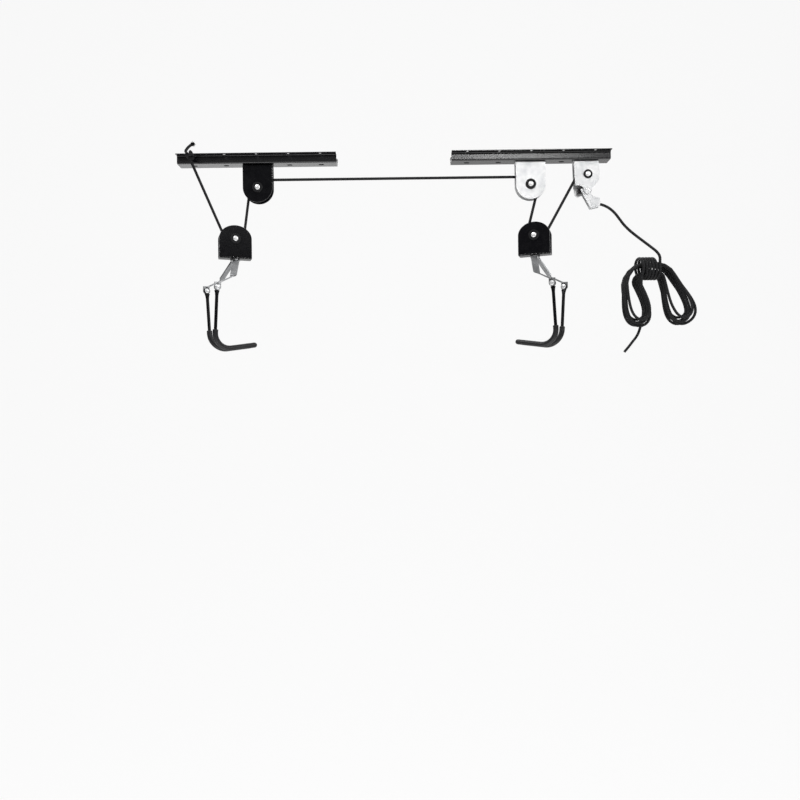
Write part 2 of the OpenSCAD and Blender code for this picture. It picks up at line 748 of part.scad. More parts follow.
module anchor_leg() {
  color(black_rope) rope_leg(anchor, on_sheave(rear_block, block_yaw, rear_in));
}
module rear_block_rope() {
  color(black_rope)
    rope_arc(rear_block, block_yaw, sheave_pitch_r, rear_in, rear_out + 360);
}
module rear_lift_leg() {
  color(black_rope)
    rope_leg(on_sheave(rear_axle, 0, rear_up), on_sheave(rear_block, block_yaw, rear_out));
}
module cross_rope() {
  color(black_rope) {
    rope_arc(rear_axle, 0, sheave_pitch_r, 90, rear_up + 360);
    rope_line(on_sheave(rear_axle, 0, 90), on_sheave(front_axle, 0, 90));
    rope_arc(front_axle, 0, sheave_pitch_r, front_down, 90);
  }
}
module front_lift_leg() {
  color(black_rope)
    rope_leg(
      on_sheave(front_axle, 0, front_down), on_sheave(front_block, -block_yaw, front_in)
    );
}
module front_block_rope() {
  color(black_rope)
    rope_arc(front_block, -block_yaw, sheave_pitch_r, front_in, front_out + 360);
}
module lock_leg() {
  color(black_rope)
    rope_leg(
      on_sheave(lock_centre, 0, lock_up), on_sheave(front_block, -block_yaw, front_out)
    );
}
// A closed skin over rings with the same number of points, as one polyhedron
module skin(rings) {
  sides = len(rings[0]);
  last = len(rings) - 1;
  wall = [
    for (i = [0 : last - 1], k = [0 : sides - 1], half = [0, 1])
      let (a = i * sides + k, b = i * sides + (k + 1) % sides, c = a + sides, d = b + sides)
        half == 0 ? [a, c, b] : [b, c, d]
  ];
  first_cap = [for (k = [1 : sides - 2]) [0, k, k + 1]];
  last_cap = [for (k = [1 : sides - 2]) [last * sides, last * sides + k + 1, last * sides + k]];
  polyhedron(
    points = [for (ring = rings, p = ring) p], faces = concat(wall, first_cap, last_cap)
  );
}
// A tube swept along points, square to its line at each ring
function unit(v) = v / norm(v);
function tangent(p, i) =
  unit(i == 0 ? p[1] - p[0] : i == len(p) - 1 ? p[i] - p[i - 1] : p[i + 1] - p[i - 1]);
function carried(n, t) = unit(n - (n * t) * t);
function normals(p, first) = [
  for (i = 0, n = carried(first, tangent(p, 0)); i < len(p);
       i = i + 1, n = i < len(p) ? carried(n, tangent(p, i)) : n) n
];
module tube(p, r, sides, first = [0, 1, 0]) {
  n = normals(p, first);
  skin([
    for (i = [0 : len(p) - 1])
      [for (k = [0 : sides - 1])
        p[i] + r * (cos(360 * k / sides) * n[i] + sin(360 * k / sides) * cross(tangent(p, i), n[i]))]
  ]);
}
// Points of a smooth curve through four points, for one span
function span(a, b, c, d, t) =
  ((2 * b) + (c - a) * t + (2 * a - 5 * b + 4 * c - d) * t * t
    + (3 * b - a - 3 * c + d) * t * t * t) / 2;
function smooth(p, steps) = concat(
  [for (i = [0 : len(p) - 2], k = [0 : steps - 1])
    span(p[max(i - 1, 0)], p[i], p[i + 1], p[min(i + 2, len(p) - 1)], k / steps)],
  [p[len(p) - 1]]
);

lock_rope_sides = 12;
lock_rope_step = 12;
function round_points(at, radius, from, to) =
  let (n = ceil(abs(to - from) / lock_rope_step))
    [for (i = [0 : n]) at + radius * outward(from + (to - from) * i / n)];
module lock_rope() {
  color(black_rope)
    tube(
      concat(
        round_points(lock_centre, sheave_pitch_r, lock_up + 360, lock_down),
        round_points(saddle, saddle_r, saddle_in, saddle_end),
        [rope_exit]
      ),
      rope_r, lock_rope_sides
    );
}

// The knot: a loop through the flange's first hole, a barrel of turns and a short free end
knot_lap_t = 2;
knot_sides = 8;
knot_rings = 12;
module anchor_knot() {
  hole_y = -rail_hole_y;
  below = -rail_t - rope_r - ease;
  color(black_rope) {
    translate([knot_x, hole_y, below]) cylinder(r = rope_r, h = -below + knot_lap_t / 2);
    translate([knot_x - rope_r, knot_y, ease]) cube([rope_d, hole_y - knot_y, knot_lap_t]);
    rope_line([knot_x, hole_y, below], [knot_x, knot_y, below]);
    translate([knot_x, hole_y, below]) sphere(r = rope_r);
    translate([knot_x, knot_y, anchor.z]) cylinder(r = rope_r, h = -anchor.z + ease + knot_lap_t);
    tube(
      concat(
        [for (i = [0 : knot_turns * knot_rings])
          [
            knot_x + knot_r * cos(360 * i / knot_rings),
            knot_y + knot_r * sin(360 * i / knot_rings),
            -rope_r - ease - knot_turns * knot_pitch + i * knot_pitch / knot_rings
          ]],
        [for (p = knot_end_shares) [knot_x, knot_y, 0] + p * knot_end_l]
      ),
      rope_r, knot_sides, [0, 0, 1]
    );
  }
}
knot_end_shares = [[-0.1, -0.25, -0.07], [0.02, -0.5, -0.07], [0.2, -0.78, -0.065], [0.38, -1, -0.06]];

// The tail, from the lock to the hank: points chosen by hand
tail_points = [
  [660, 0, -102], [668, 0, -107], [676, -1, -115], [684, -2, -126], [692, -4, -138],
  [702, -7, -150], [714, -11, -162], [727, -17, -175], [738, -22, -186], [746, -26, -195],
  [750, -29, -204]
];
tail_sides = 8;
tail_steps = 2;
module rope_tail() {
  first = rope_exit + rope_d * along(saddle_end);
  color(black_rope)
    tube(
      concat(
        [rope_exit],
        smooth(concat([first], tail_points, [hank_start + [0, 0, rope_d]]), tail_steps),
        [hank_start]
      ),
      rope_r, tail_sides
    );
}

// The hank: turns wrapped round its waist, then loops that hang down on both sides of it
waist = [738, -3, -222];
waist_half_l = 8;
arch_r = 27;
loop_rings = 24;
open_share = 1.3;
hank_sides = 6;
wrap_rings = 16;
wrap_half_y = 27;
wrap_half_z = 19;
wrap_lean = 3;
wrap_shift = -3;
climb_from = 215;
climb_over = 110;
join_at = 300;
leave_at = 330;
hank_end = [[723, 11, -340], [709, 11, -361], [695, 11, -378]];
// One value for each loop: half gap at the waist, half width and share of the full length of its
// lobes, turn of the left and the right lobe, and how much wider its right lobe is on the outside
waist_gaps = [6.5, 7.5, 8.5, 8, 7, 6];
lobe_halves = [20, 22, 25, 24, 21, 20];
length_shares = [0.92, 0.96, 1, 0.98, 0.94, 0.9];
left_turns = [106, 101, 104, 99, 103, 107];
right_turns = [67, 72, 69, 74, 71, 66];
right_flares = [0, 0, 9, 0, 0, 0];
// Value of such a list on the way from one loop to the next
function between(list, u) =
  let (i = floor(u), n = len(list), t = u - i) list[(i + n) % n] * (1 - t) + list[(i + 1) % n] * t;

// Place and side direction on the bent middle line of loop u, s from -1 (left) to 1 (right)
function bend(s, u) =
  let (
    d = abs(s) * hank_half_l * between(length_shares, u),
    m = s < 0 ? -1 : 1,
    turn = between(s < 0 ? left_turns : right_turns, u),
    arc = arch_r * turn * PI / 180,
    a = d < waist_half_l ? 0 : min(turn, (d - waist_half_l) / arch_r * 180 / PI),
    rest = max(0, d - waist_half_l - arc),
    x = min(d, waist_half_l) + arch_r * sin(a) + rest * cos(turn),
    z = -arch_r * (1 - cos(a)) - rest * sin(turn)
  ) [[m * x, 0, z], [m * sin(a), 0, cos(a)]];
// How wide loop u opens at the angle a
function opening(a, u) =
  let (
    gap = between(waist_gaps, u),
    flare = a < 180 && cos(a) < 0 ? between(right_flares, u) : 0
  ) gap * abs(sin(a))
    + ((between(lobe_halves, u) - gap) * open_share + flare) * abs(sin(2 * a) * cos(a));
// Point of loop k at the angle a: out along one side, back along the other, one step further
function loop_point(k, a) =
  let (
    u = k + max(0, min(1, (a - climb_from) / climb_over)),
    place = bend(-cos(a), u)
  ) waist + place[0] + (a < 180 ? 1 : -1) * opening(a, u) * place[1]
    + [0, (u - hank_loops / 2) * hank_step, 0];
function wrap_point(a) = waist + [
  wrap_shift + (hank_wraps / 2 - a / 360) * hank_step + wrap_lean * sin(a),
  -wrap_half_y * cos(a), -wrap_half_z * sin(a)
];
hank_start = wrap_point(0) + [0, 0, rope_d];
wraps = [for (i = [0 : hank_wraps * wrap_rings]) wrap_point(360 * i / wrap_rings)];
loops = [
  for (k = [-1 : hank_loops - 1], i = [0 : loop_rings - 1])
    let (a = 360 * i / loop_rings)
      if ((k >= 0 || a >= join_at) && (k < hank_loops - 1 || a <= leave_at)) loop_point(k, a)
];
joining = [
  for (t = [0.3, 0.6])
    span(wraps[len(wraps) - 2], wraps[len(wraps) - 1], loops[0], loops[1], t)
];
hank_points = concat([hank_start], wraps, joining, loops, hank_end);
near_points = 5;
hank_gap = min([
  for (i = [0 : len(hank_points) - 1], j = [i + near_points : 1 : len(hank_points) - 1])
    norm(hank_points[i] - hank_points[j])
]) - rope_d;
echo(hank_least_gap = hank_gap);
module rope_hank() {
  color(black_rope) tube(hank_points, rope_r, hank_sides, [1, 0, 0]);
}

rear_rail();
front_rail();
rear_bracket();
front_bracket();
lock_bracket();
bracket_screws();
bracket_nuts();
rear_bracket_axle();
front_bracket_axle();
lock_axle();
rear_bracket_washers();
front_bracket_washers();
lock_washers();
bracket_spacers();
rear_bracket_sheave();
front_bracket_sheave();
lock_sheave();
lock_pivot_pin();
lock_lever();
lock_cam();
rear_block_shell();
front_block_shell();
rear_block_axle();
front_block_axle();
rear_block_washers();
front_block_washers();
rear_block_spacers();
front_block_spacers();
rear_block_sheave();
front_block_sheave();
rear_swivel_rivet();
front_swivel_rivet();
rear_hanger();
front_hanger();
rear_hook_rivets();
front_hook_rivets();
rear_hook_rods();
front_hook_rods();
rear_hook_sleeves();
front_hook_sleeves();
anchor_knot();
anchor_leg();
rear_block_rope();
rear_lift_leg();
cross_rope();
front_lift_leg();
front_block_rope();
lock_leg();
lock_rope();
rope_tail();
rope_hank();
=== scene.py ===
import json
import math
import random

import bmesh
import bpy
from mathutils import Matrix, Vector


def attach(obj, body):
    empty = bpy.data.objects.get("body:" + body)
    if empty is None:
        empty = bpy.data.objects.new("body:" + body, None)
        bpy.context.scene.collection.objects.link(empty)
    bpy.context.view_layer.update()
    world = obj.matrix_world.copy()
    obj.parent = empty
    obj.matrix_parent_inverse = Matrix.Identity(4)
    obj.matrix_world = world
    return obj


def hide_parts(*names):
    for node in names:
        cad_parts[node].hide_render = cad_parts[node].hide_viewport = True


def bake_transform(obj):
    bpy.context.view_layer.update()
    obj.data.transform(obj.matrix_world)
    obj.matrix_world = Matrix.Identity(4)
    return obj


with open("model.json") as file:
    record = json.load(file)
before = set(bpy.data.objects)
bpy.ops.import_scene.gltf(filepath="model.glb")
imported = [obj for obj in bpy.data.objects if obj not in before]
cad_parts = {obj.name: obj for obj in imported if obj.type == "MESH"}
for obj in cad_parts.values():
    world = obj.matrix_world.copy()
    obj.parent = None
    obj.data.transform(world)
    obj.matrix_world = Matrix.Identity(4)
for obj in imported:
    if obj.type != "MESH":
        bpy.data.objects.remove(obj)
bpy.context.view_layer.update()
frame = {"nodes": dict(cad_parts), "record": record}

# A bike ceiling hoist: rails, rope brackets, rope lock, lifting blocks, hooks, rope and hank
mm = 0.001
scene = bpy.context.scene
bodyOf = {n: b for b, members in frame["record"]["behaviour"]["bodies"].items() for n in members}


def turned(angle):
    return Matrix.Rotation(math.radians(angle), 4, "Z")


def linkObject(name, mesh):
    obj = bpy.data.objects.new(name, mesh)
    scene.collection.objects.link(obj)
    return obj


# Camera, room and lamps
roomSizes = {
    "eye": (0.264, -1.33, -0.465),   # level view, well below the rails
    "roll": 0.7,                     # degrees, the picture leans a little to the left
    "lens": 31.5,
    "sensor": 36,
    "floorZ": -1.75,                 # below the hooks at their lowest
    "half": 4.0,
    "wallY": 2.6,
    "wallTop": 3.2,
    "cornerRadius": 0.8,
    "cornerSteps": 12,
    "glow": 0.9,                     # share of plain white that the camera sees
    "ambientLow": 0.16,
    "ambientHigh": 0.8,
    "ambientFrom": 0.3,
    "ambientTo": 0.9,
    "grey": 0.82,
    "roughness": 0.9,
}


def makeCamera():
    data = bpy.data.cameras.new("camera")
    camera = linkObject("camera", data)
    data.sensor_width = roomSizes["sensor"]
    data.lens = roomSizes["lens"]
    camera.location = roomSizes["eye"]
    camera.rotation_euler = (math.radians(90), math.radians(roomSizes["roll"]), 0)
    scene.camera = camera


def socketNode(tree, kind, **values):
    node = tree.nodes.new(kind)
    for key, value in values.items():
        setattr(node, key, value)
    return node


def maths(tree, operation, a, b=None):
    node = socketNode(tree, "ShaderNodeMath", operation=operation)
    for socket, value in zip(node.inputs, (a, b)):
        if isinstance(value, (int, float)):
            socket.default_value = value
        elif value is not None:
            tree.links.new(value, socket)
    return node.outputs[0]


def newMaterial(name):
    material = bpy.data.materials.new(name)
    material.use_nodes = True
    nodes = material.node_tree.nodes
    return material, nodes, material.node_tree.links, nodes["Principled BSDF"]


def makeRoom():
    s = roomSizes
    centre = s["wallY"] - s["cornerRadius"]
    profile = [(-s["half"], s["floorZ"])]
    for i in range(s["cornerSteps"] + 1):
        a = math.pi / 2 * i / s["cornerSteps"]
        profile.append((
            centre + s["cornerRadius"] * math.sin(a),
            s["floorZ"] + s["cornerRadius"] * (1 - math.cos(a)),
        ))
    profile.append((s["wallY"], s["wallTop"]))
    verts = [(x, y, z) for y, z in profile for x in (-s["half"], s["half"])]
    faces = [(2 * i, 2 * i + 1, 2 * i + 3, 2 * i + 2) for i in range(len(profile) - 1)]
    mesh = bpy.data.meshes.new("sweep")
    mesh.from_pydata(verts, [], faces)
    mesh.shade_smooth()
    material, nodes, links, shader = newMaterial("paleSweep")
    shader.inputs["Base Color"].default_value = (*[s["grey"]] * 3, 1)
    shader.inputs["Roughness"].default_value = s["roughness"]
    glow = nodes.new("ShaderNodeEmission")
    rays = nodes.new("ShaderNodeLightPath")
    tree = material.node_tree
    seen = maths(tree, "MAXIMUM", rays.outputs["Is Camera Ray"], rays.outputs["Is Glossy Ray"])
    mix = nodes.new("ShaderNodeMixShader")
    links.new(maths(tree, "MULTIPLY", seen, s["glow"]), mix.inputs[0])
    links.new(shader.outputs[0], mix.inputs[1])
    links.new(glow.outputs[0], mix.inputs[2])
    links.new(mix.outputs[0], nodes["Material Output"].inputs["Surface"])
    mesh.materials.append(material)
    linkObject("sweep", mesh)

    world = bpy.data.worlds.new("paleRoom")
    scene.world = world
    world.use_nodes = True
    nodes, links = world.node_tree.nodes, world.node_tree.links
    soft = nodes["Background"]
    soft.inputs["Strength"].default_value = 1
    place = nodes.new("ShaderNodeTexCoord")
    split = nodes.new("ShaderNodeSeparateXYZ")
    shade = nodes.new("ShaderNodeValToRGB")     # brighter above than towards the floor
    links.new(place.outputs["Generated"], split.inputs[0])
    links.new(split.outputs["Z"], shade.inputs[0])
    low, high = shade.color_ramp.elements
    low.position, high.position = s["ambientFrom"], s["ambientTo"]
    low.color = (*[s["ambientLow"]] * 3, 1)
    high.color = (*[s["ambientHigh"]] * 3, 1)
    links.new(shade.outputs["Color"], soft.inputs["Color"])
    white = nodes.new("ShaderNodeBackground")
    white.inputs["Color"].default_value = (1, 1, 1, 1)
    rays = nodes.new("ShaderNodeLightPath")
    mix = nodes.new("ShaderNodeMixShader")
    links.new(rays.outputs["Is Camera Ray"], mix.inputs[0])
    links.new(soft.outputs[0], mix.inputs[1])
    links.new(white.outputs[0], mix.inputs[2])
    links.new(mix.outputs[0], nodes["World Output"].inputs["Surface"])


# Each lamp: place, aim, width, height, power
lampSizes = {
    "key": ((-0.9, -1.1, 1.5), (0.25, 0, -0.15), 1.3, 0.9, 34),
    "fill": ((2.0, -1.2, 0.5), (0.3, 0, -0.2), 1.1, 1.1, 18),
    "low": ((0.3, -0.7, -1.5), (0.3, 0, 0), 1.6, 0.7, 8),
    "streak": ((0.66, -1.33, 0.46), (0.46, 0, -0.01), 0.42, 0.05, 2.2),
    "glint": ((-0.3, 1.5, -0.52), (0, 0, -0.016), 0.8, 0.25, 0.8),
    "front": ((0.7, -1.4, 0.42), (0.54, 0, -0.06), 0.5, 0.25, 1.7),
    "back": ((0.4, 1.6, 0.9), (0.3, 0, -0.2), 1.2, 0.8, 10),
}
railLamps = ("streak", "glint")     # these light only the rails


def makeLamps():
    lit = bpy.data.collections.new("litRails")
    for name, (place, aim, width, height, power) in lampSizes.items():
        data = bpy.data.lights.new(name, "AREA")
        data.shape = "RECTANGLE"
        data.size, data.size_y, data.energy = width, height, power
        lamp = linkObject(name, data)
        lamp.location = place
        lamp.visible_camera = False
        if name in railLamps:
            lamp.light_linking.receiver_collection = lit
        lamp.rotation_euler = (Vector(aim) - Vector(place)).to_track_quat("-Z", "Y").to_euler()
    scene.view_settings.view_transform = "Standard"
    return lit


makeCamera()
makeRoom()
litRails = makeLamps()
print("camera, room and lamps ready")


# Materials
def noiseOn(nodes, links, scale, detail=4, stretch=(1, 1, 1)):
    place = nodes.new("ShaderNodeTexCoord")
    mapping = nodes.new("ShaderNodeMapping")
    mapping.inputs["Scale"].default_value = stretch
    noise = nodes.new("ShaderNodeTexNoise")
    noise.inputs["Scale"].default_value = scale
    noise.inputs["Detail"].default_value = detail
    links.new(place.outputs["Object"], mapping.inputs["Vector"])
    links.new(mapping.outputs[0], noise.inputs["Vector"])
    return noise.outputs["Fac"]


def rangeOf(nodes, links, value, low, high, fromLow=0.3, fromHigh=0.7):
    node = nodes.new("ShaderNodeMapRange")
    node.inputs["From Min"].default_value = fromLow
    node.inputs["From Max"].default_value = fromHigh
    node.inputs["To Min"].default_value = low
    node.inputs["To Max"].default_value = high
    links.new(value, node.inputs["Value"])
    return node.outputs["Result"]


def colourOf(nodes, links, value, low, high, fromLow=0.3, fromHigh=0.7):
    ramp = nodes.new("ShaderNodeValToRGB")
    first, last = ramp.color_ramp.elements
    first.position, last.position = fromLow, fromHigh
    first.color, last.color = (*low, 1), (*high, 1)
    links.new(value, ramp.inputs[0])
    return ramp.outputs["Color"]


def bumpOf(nodes, links, shader, height, strength, depth):
    bump = nodes.new("ShaderNodeBump")
    bump.inputs["Strength"].default_value = strength
    bump.inputs["Distance"].default_value = depth
    links.new(height, bump.inputs["Height"])
    links.new(bump.outputs[0], shader.inputs["Normal"])


coatLook = {
    "low": (0.002, 0.002, 0.003),
    "high": (0.005, 0.005, 0.006),
    # lighter colour for the coat's bevelled edges: rubbed wear and a painted edge highlight
    "edgeWearAndHighlight": (0.12, 0.12, 0.13),
    "worn": (0.42, 0.42, 0.43),
    "grain": 1500,
    "clouds": 70,
    "roughness": (0.2, 0.32),
    "evenRoughness": (0.25, 0.28),
    "grainDepth": 0.00004,
    "spots": 320,
    "patches": 190,
    "spotEdge": 0.18,
}


def powderCoat(name, specular, edgeWearAndHighlight=None, patchy=0.68, grainy=0.35, even=False):
    look = coatLook
    material, nodes, links, shader = newMaterial(name)
    clouds = noiseOn(nodes, links, look["clouds"])
    base = colourOf(nodes, links, clouds, look["low"], look["high"])
    # edge faces get a lighter colour in patches: wear, and on the rails and rear bracket a painted edge
    # highlight as well
    if edgeWearAndHighlight:
        spots = noiseOn(nodes, links, look["spots"], detail=6)
        mask = rangeOf(nodes, links, spots, 0, 1, patchy - look["spotEdge"], patchy)
        mix = nodes.new("ShaderNodeMix")
        mix.data_type = "RGBA"
        links.new(mask, mix.inputs["Factor"])
        links.new(base, mix.inputs["A"])
        mix.inputs["B"].default_value = (*look[edgeWearAndHighlight], 1)
        base = mix.outputs["Result"]
    links.new(base, shader.inputs["Base Color"])
    spread = look["evenRoughness"] if even else look["roughness"]
    rough = rangeOf(nodes, links, noiseOn(nodes, links, look["patches"]), *spread)
    links.new(rough, shader.inputs["Roughness"])
    shader.inputs["Specular IOR Level"].default_value = specular
    grain = noiseOn(nodes, links, look["grain"], detail=2)
    bumpOf(nodes, links, shader, grain, grainy, look["grainDepth"])
    return material


zincLook = {
    "low": (0.64, 0.65, 0.66),
    "high": (0.9, 0.9, 0.9),
    "bright": (0.94, 0.94, 0.94),
    "dull": (0.2, 0.205, 0.21),
    "middle": (0.36, 0.365, 0.37),
    "metallic": 0.72,
    "roughness": (0.3, 0.48),
    "clouds": 60,
    "rolling": (6, 1, 60),       # streaks along the sheet
    "lineDepth": 0.00002,
    "lines": 22,
    "lineBump": 0.3,
}


def zincPlate(name, low="low", high="high"):
    look = zincLook
    material, nodes, links, shader = newMaterial(name)
    shader.inputs["Metallic"].default_value = look["metallic"]
    clouds = noiseOn(nodes, links, look["clouds"], detail=6)
    links.new(colourOf(nodes, links, clouds, look[low], look[high]), shader.inputs["Base Color"])
    streaks = noiseOn(nodes, links, look["lines"], detail=5, stretch=look["rolling"])
    rough = rangeOf(nodes, links, streaks, *look["roughness"])
    links.new(rough, shader.inputs["Roughness"])
    bumpOf(nodes, links, shader, streaks, look["lineBump"], look["lineDepth"])
    return material


mouldedLooks = {
    "nylon": {"low": (0.006, 0.006, 0.007), "high": (0.012, 0.012, 0.013), "roughness": (0.36, 0.5),
              "grain": 1200, "depth": 0.00003, "specular": 0.2},
    "rubber": {"low": (0.005, 0.005, 0.006), "high": (0.013, 0.013, 0.014), "roughness": (0.38, 0.52),
               "grain": 700, "depth": 0.00006, "specular": 0.35},
    "clouds": 90, "patches": 240, "bump": 0.4,
}


def mouldedBlack(name, kind):
    shared, look = mouldedLooks, mouldedLooks[kind]
    material, nodes, links, shader = newMaterial(name)
    clouds = noiseOn(nodes, links, shared["clouds"], detail=5)
    links.new(colourOf(nodes, links, clouds, look["low"], look["high"]), shader.inputs["Base Color"])
    rough = rangeOf(nodes, links, noiseOn(nodes, links, shared["patches"]), *look["roughness"])
    links.new(rough, shader.inputs["Roughness"])
    shader.inputs["Specular IOR Level"].default_value = look["specular"]
    grain = noiseOn(nodes, links, look["grain"], detail=3)
    bumpOf(nodes, links, shader, grain, shared["bump"], look["depth"])
    return material


ropeSizes = {
    "diameter": 5.0,
    "sides": 16,
    "ringStep": 1.1,             # distance between rings
    "braidDepth": 0.2,           # height of a plait above the rope's surface
    "plaits": 2,                 # pairs of plaits round the rope
    "plaitLength": 4.4,
    "arcStep": 6,                # degrees
}
ropeLook = {
    "yarns": 14,                 # yarns round the rope
    "yarnSlant": 5,
    "plaitShare": 0.3,
    "yarnShare": 0.25,
    # the braid's colour runs from dark in its hollows to light on its crowns: painted shade
    "dark": (0.002, 0.002, 0.002),
    "light": (0.016, 0.016, 0.018),
    "shades": (0.2, 0.85),
    "fuzz": 900,
    "roughness": (0.62, 0.86),
    "sheen": 0.03,
    "specular": 0.25,
    "bump": 0.6,
    "depth": 0.00018,
}


def braidedPolyester(name):
    material, nodes, links, shader = newMaterial(name)
    look = ropeLook
    tree = material.node_tree
    lay = socketNode(tree, "ShaderNodeAttribute", attribute_name="ropeLay")
    split = nodes.new("ShaderNodeSeparateXYZ")
    links.new(lay.outputs["Vector"], split.inputs[0])

    def times(value, factor):
        return maths(tree, "MULTIPLY", value, factor)

    def wave(kind, value):
        return maths(tree, kind, value)

    around = maths(tree, "ARCTAN2", split.outputs["Z"], split.outputs["Y"])
    along = times(split.outputs["X"], math.pi / (ropeSizes["plaitLength"] * mm))
    plaits = maths(tree, "ADD", wave("COSINE", times(around, 2 * ropeSizes["plaits"])),
                   wave("COSINE", times(along, 2)))
    slanted = wave("SINE", maths(tree, "ADD", times(around, 2 * ropeSizes["plaits"]), along))
    over = maths(tree, "GREATER_THAN", slanted, 0)
    way = maths(tree, "SUBTRACT", times(over, 2), 1)
    yarns = wave("SINE", maths(tree, "ADD", times(around, look["yarns"]),
                               times(times(along, way), look["yarnSlant"])))
    height = maths(tree, "ADD", times(plaits, look["plaitShare"]), times(yarns, look["yarnShare"]))
    # hollows between the yarns painted darker and crowns lighter: painted shade
    shade = maths(tree, "ADD", times(height, 0.5), 0.5)
    base = colourOf(nodes, links, shade, look["dark"], look["light"], *look["shades"])
    links.new(base, shader.inputs["Base Color"])
    fuzz = noiseOn(nodes, links, look["fuzz"], detail=3)
    links.new(rangeOf(nodes, links, fuzz, *look["roughness"]), shader.inputs["Roughness"])
    shader.inputs["Sheen Weight"].default_value = look["sheen"]
    shader.inputs["Specular IOR Level"].default_value = look["specular"]
    bumpOf(nodes, links, shader, height, look["bump"], look["depth"])
    return material


looks = {
    "coat": powderCoat("blackPowderCoat", specular=0.12),
    # its edges are painted lighter: a painted edge highlight as well as rubbed wear
    "coatEdge": powderCoat("blackPowderCoatEdge", specular=0.3, edgeWearAndHighlight="edgeWearAndHighlight"),
    "wornEdge": powderCoat("wornPowderCoatEdge", specular=0.3, edgeWearAndHighlight="worn", patchy=0.5),
    "gloss": powderCoat("glossBlackPowderCoat", specular=0.6, grainy=0.04, even=True),
    "zinc": zincPlate("zincPlatedSheet"),
    "bright": zincPlate("brightZincFastener", low="high", high="bright"),
    "dull": zincPlate("dullZincStrap", low="dull", high="middle"),
    "nylon": mouldedBlack("mouldedNylon", "nylon"),
    "rubber": mouldedBlack("dippedRubber", "rubber"),
    "rope": braidedPolyester("braidedPolyester"),
}
print("materials ready")


# Solids in millimetres, made in place
meshSizes = {
    "weld": 1e-7,                # metres; corners nearer than this become one
    "copyWeld": 2e-6,            # the same in copies of the frame's meshes
    "flatAngle": 0.6,            # degrees; faces that meet flatter than this become one
    "bevelAngle": 35,            # degrees; edges sharper than this are rounded
    "creaseAngle": 45,           # degrees; edges sharper than this stay creased in the shading
    "bevelSegments": 2,
}


def meshObject(name, verts, faces):
    mesh = bpy.data.meshes.new(name)
    mesh.from_pydata([Vector(v) * mm for v in verts], [], faces)
    mesh.update()
    return linkObject(name, mesh)


def prism(name, outline, axis, low, high):
    def place(p, d):
        return (p[0], d, p[1]) if axis == "Y" else (d, p[0], p[1]) if axis == "X" else (p[0], p[1], d)
    n = len(outline)
    verts = [place(p, low) for p in outline] + [place(p, high) for p in outline]
    faces = [tuple(range(n)), tuple(range(2 * n - 1, n - 1, -1))]
    faces += [(i, i + n, (i + 1) % n + n, (i + 1) % n) for i in range(n)]
    obj = meshObject(name, verts, faces)
    fixNormals(obj)
    return obj


def fixNormals(obj):
    bm = bmesh.new()
    bm.from_mesh(obj.data)
    bmesh.ops.remove_doubles(bm, verts=bm.verts, dist=meshSizes["weld"])
    bmesh.ops.recalc_face_normals(bm, faces=bm.faces)
    bm.to_mesh(obj.data)
    bm.free()


def circle(x, z, radius, steps=48):
    return [(x + radius * math.cos(2 * math.pi * i / steps), z + radius * math.sin(2 * math.pi * i / steps))
            for i in range(steps)]


cutters = {"across": 20, "over": 1}     # half the depth of a cut through both cheeks, and an overrun


def slab(name, outline):
    return prism(name, outline, "Y", -cutters["across"], cutters["across"])


def crossHole(x, z, radius, steps=32):
    return slab("hole", circle(x, z, radius, steps))


def webHole(x, radius, base, sheet, steps=24):
    # A hole down through a level sheet whose underside lies at base
    over = cutters["over"]
    return prism("hole", circle(x, 0, radius, steps), "Z", base - over, base + sheet + over)


def filleted(corners, steps=6):
    # Corners are (u, v, radius); each one with a radius becomes an arc
    points = []
    n = len(corners)
    for i, (u, v, radius) in enumerate(corners):
        here = Vector((u, v))
        if not radius:
            points.append((u, v))
            continue
        before = (Vector(corners[i - 1][:2]) - here).normalized()
        after = (Vector(corners[(i + 1) % n][:2]) - here).normalized()
        half = before.angle(after) / 2
        cut = radius / math.tan(half)
        middle = here + (before + after).normalized() * radius / math.sin(half)
        first, last = here + before * cut - middle, here + after * cut - middle
        sweep = first.angle_signed(last)
        for k in range(steps + 1):
            a = -sweep * k / steps
            points.append((
                middle.x + first.x * math.cos(a) - first.y * math.sin(a),
                middle.y + first.x * math.sin(a) + first.y * math.cos(a),
            ))
    return points


def baked(obj):
    depsgraph = bpy.context.evaluated_depsgraph_get()
    return bpy.data.meshes.new_from_object(
        obj.evaluated_get(depsgraph), preserve_all_data_layers=True, depsgraph=depsgraph)


def settle(obj):
    mesh = baked(obj)
    obj.modifiers.clear()
    obj.data = mesh
    return obj


def combine(obj, others, operation):
    for other in others:
        step = obj.modifiers.new("combine", "BOOLEAN")
        step.solver = "EXACT"
        step.operation = operation
        step.object = other
        settle(obj)
        bpy.data.objects.remove(other)
    return obj


def moved(obj, matrix):
    obj.data.transform(matrix)
    return obj


def atPlace(x, z, turn=0):
    return Matrix.Translation((x * mm, 0, z * mm)) @ turned(turn)


def finished(obj, nodes, look, edge, edgeLook=None):
    # Small rounded edges, smooth shading, the piece's materials and body, and its frame nodes hidden
    mesh = obj.data
    crease = math.radians(meshSizes["creaseAngle"])
    mesh.materials.clear()
    mesh.materials.append(looks[look])
    if edgeLook:
        mesh.materials.append(looks[edgeLook])
    for face in mesh.polygons:
        face.material_index = 0
    mesh.shade_smooth()
    if edge:
        bevel = obj.modifiers.new("edges", "BEVEL")
        bevel.width = edge * mm
        bevel.segments = meshSizes["bevelSegments"]
        bevel.limit_method = "ANGLE"
        bevel.angle_limit = math.radians(meshSizes["bevelAngle"])
        bevel.material = 1 if edgeLook else -1
        settle(obj)
        obj.data.set_sharp_from_angle(angle=crease)
        normals = obj.modifiers.new("normals", "WEIGHTED_NORMAL")
        normals.keep_sharp = True
        settle(obj)
    else:
        obj.data.set_sharp_from_angle(angle=crease)
    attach(obj, bodyOf[nodes[0]])
    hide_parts(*nodes)
    return obj


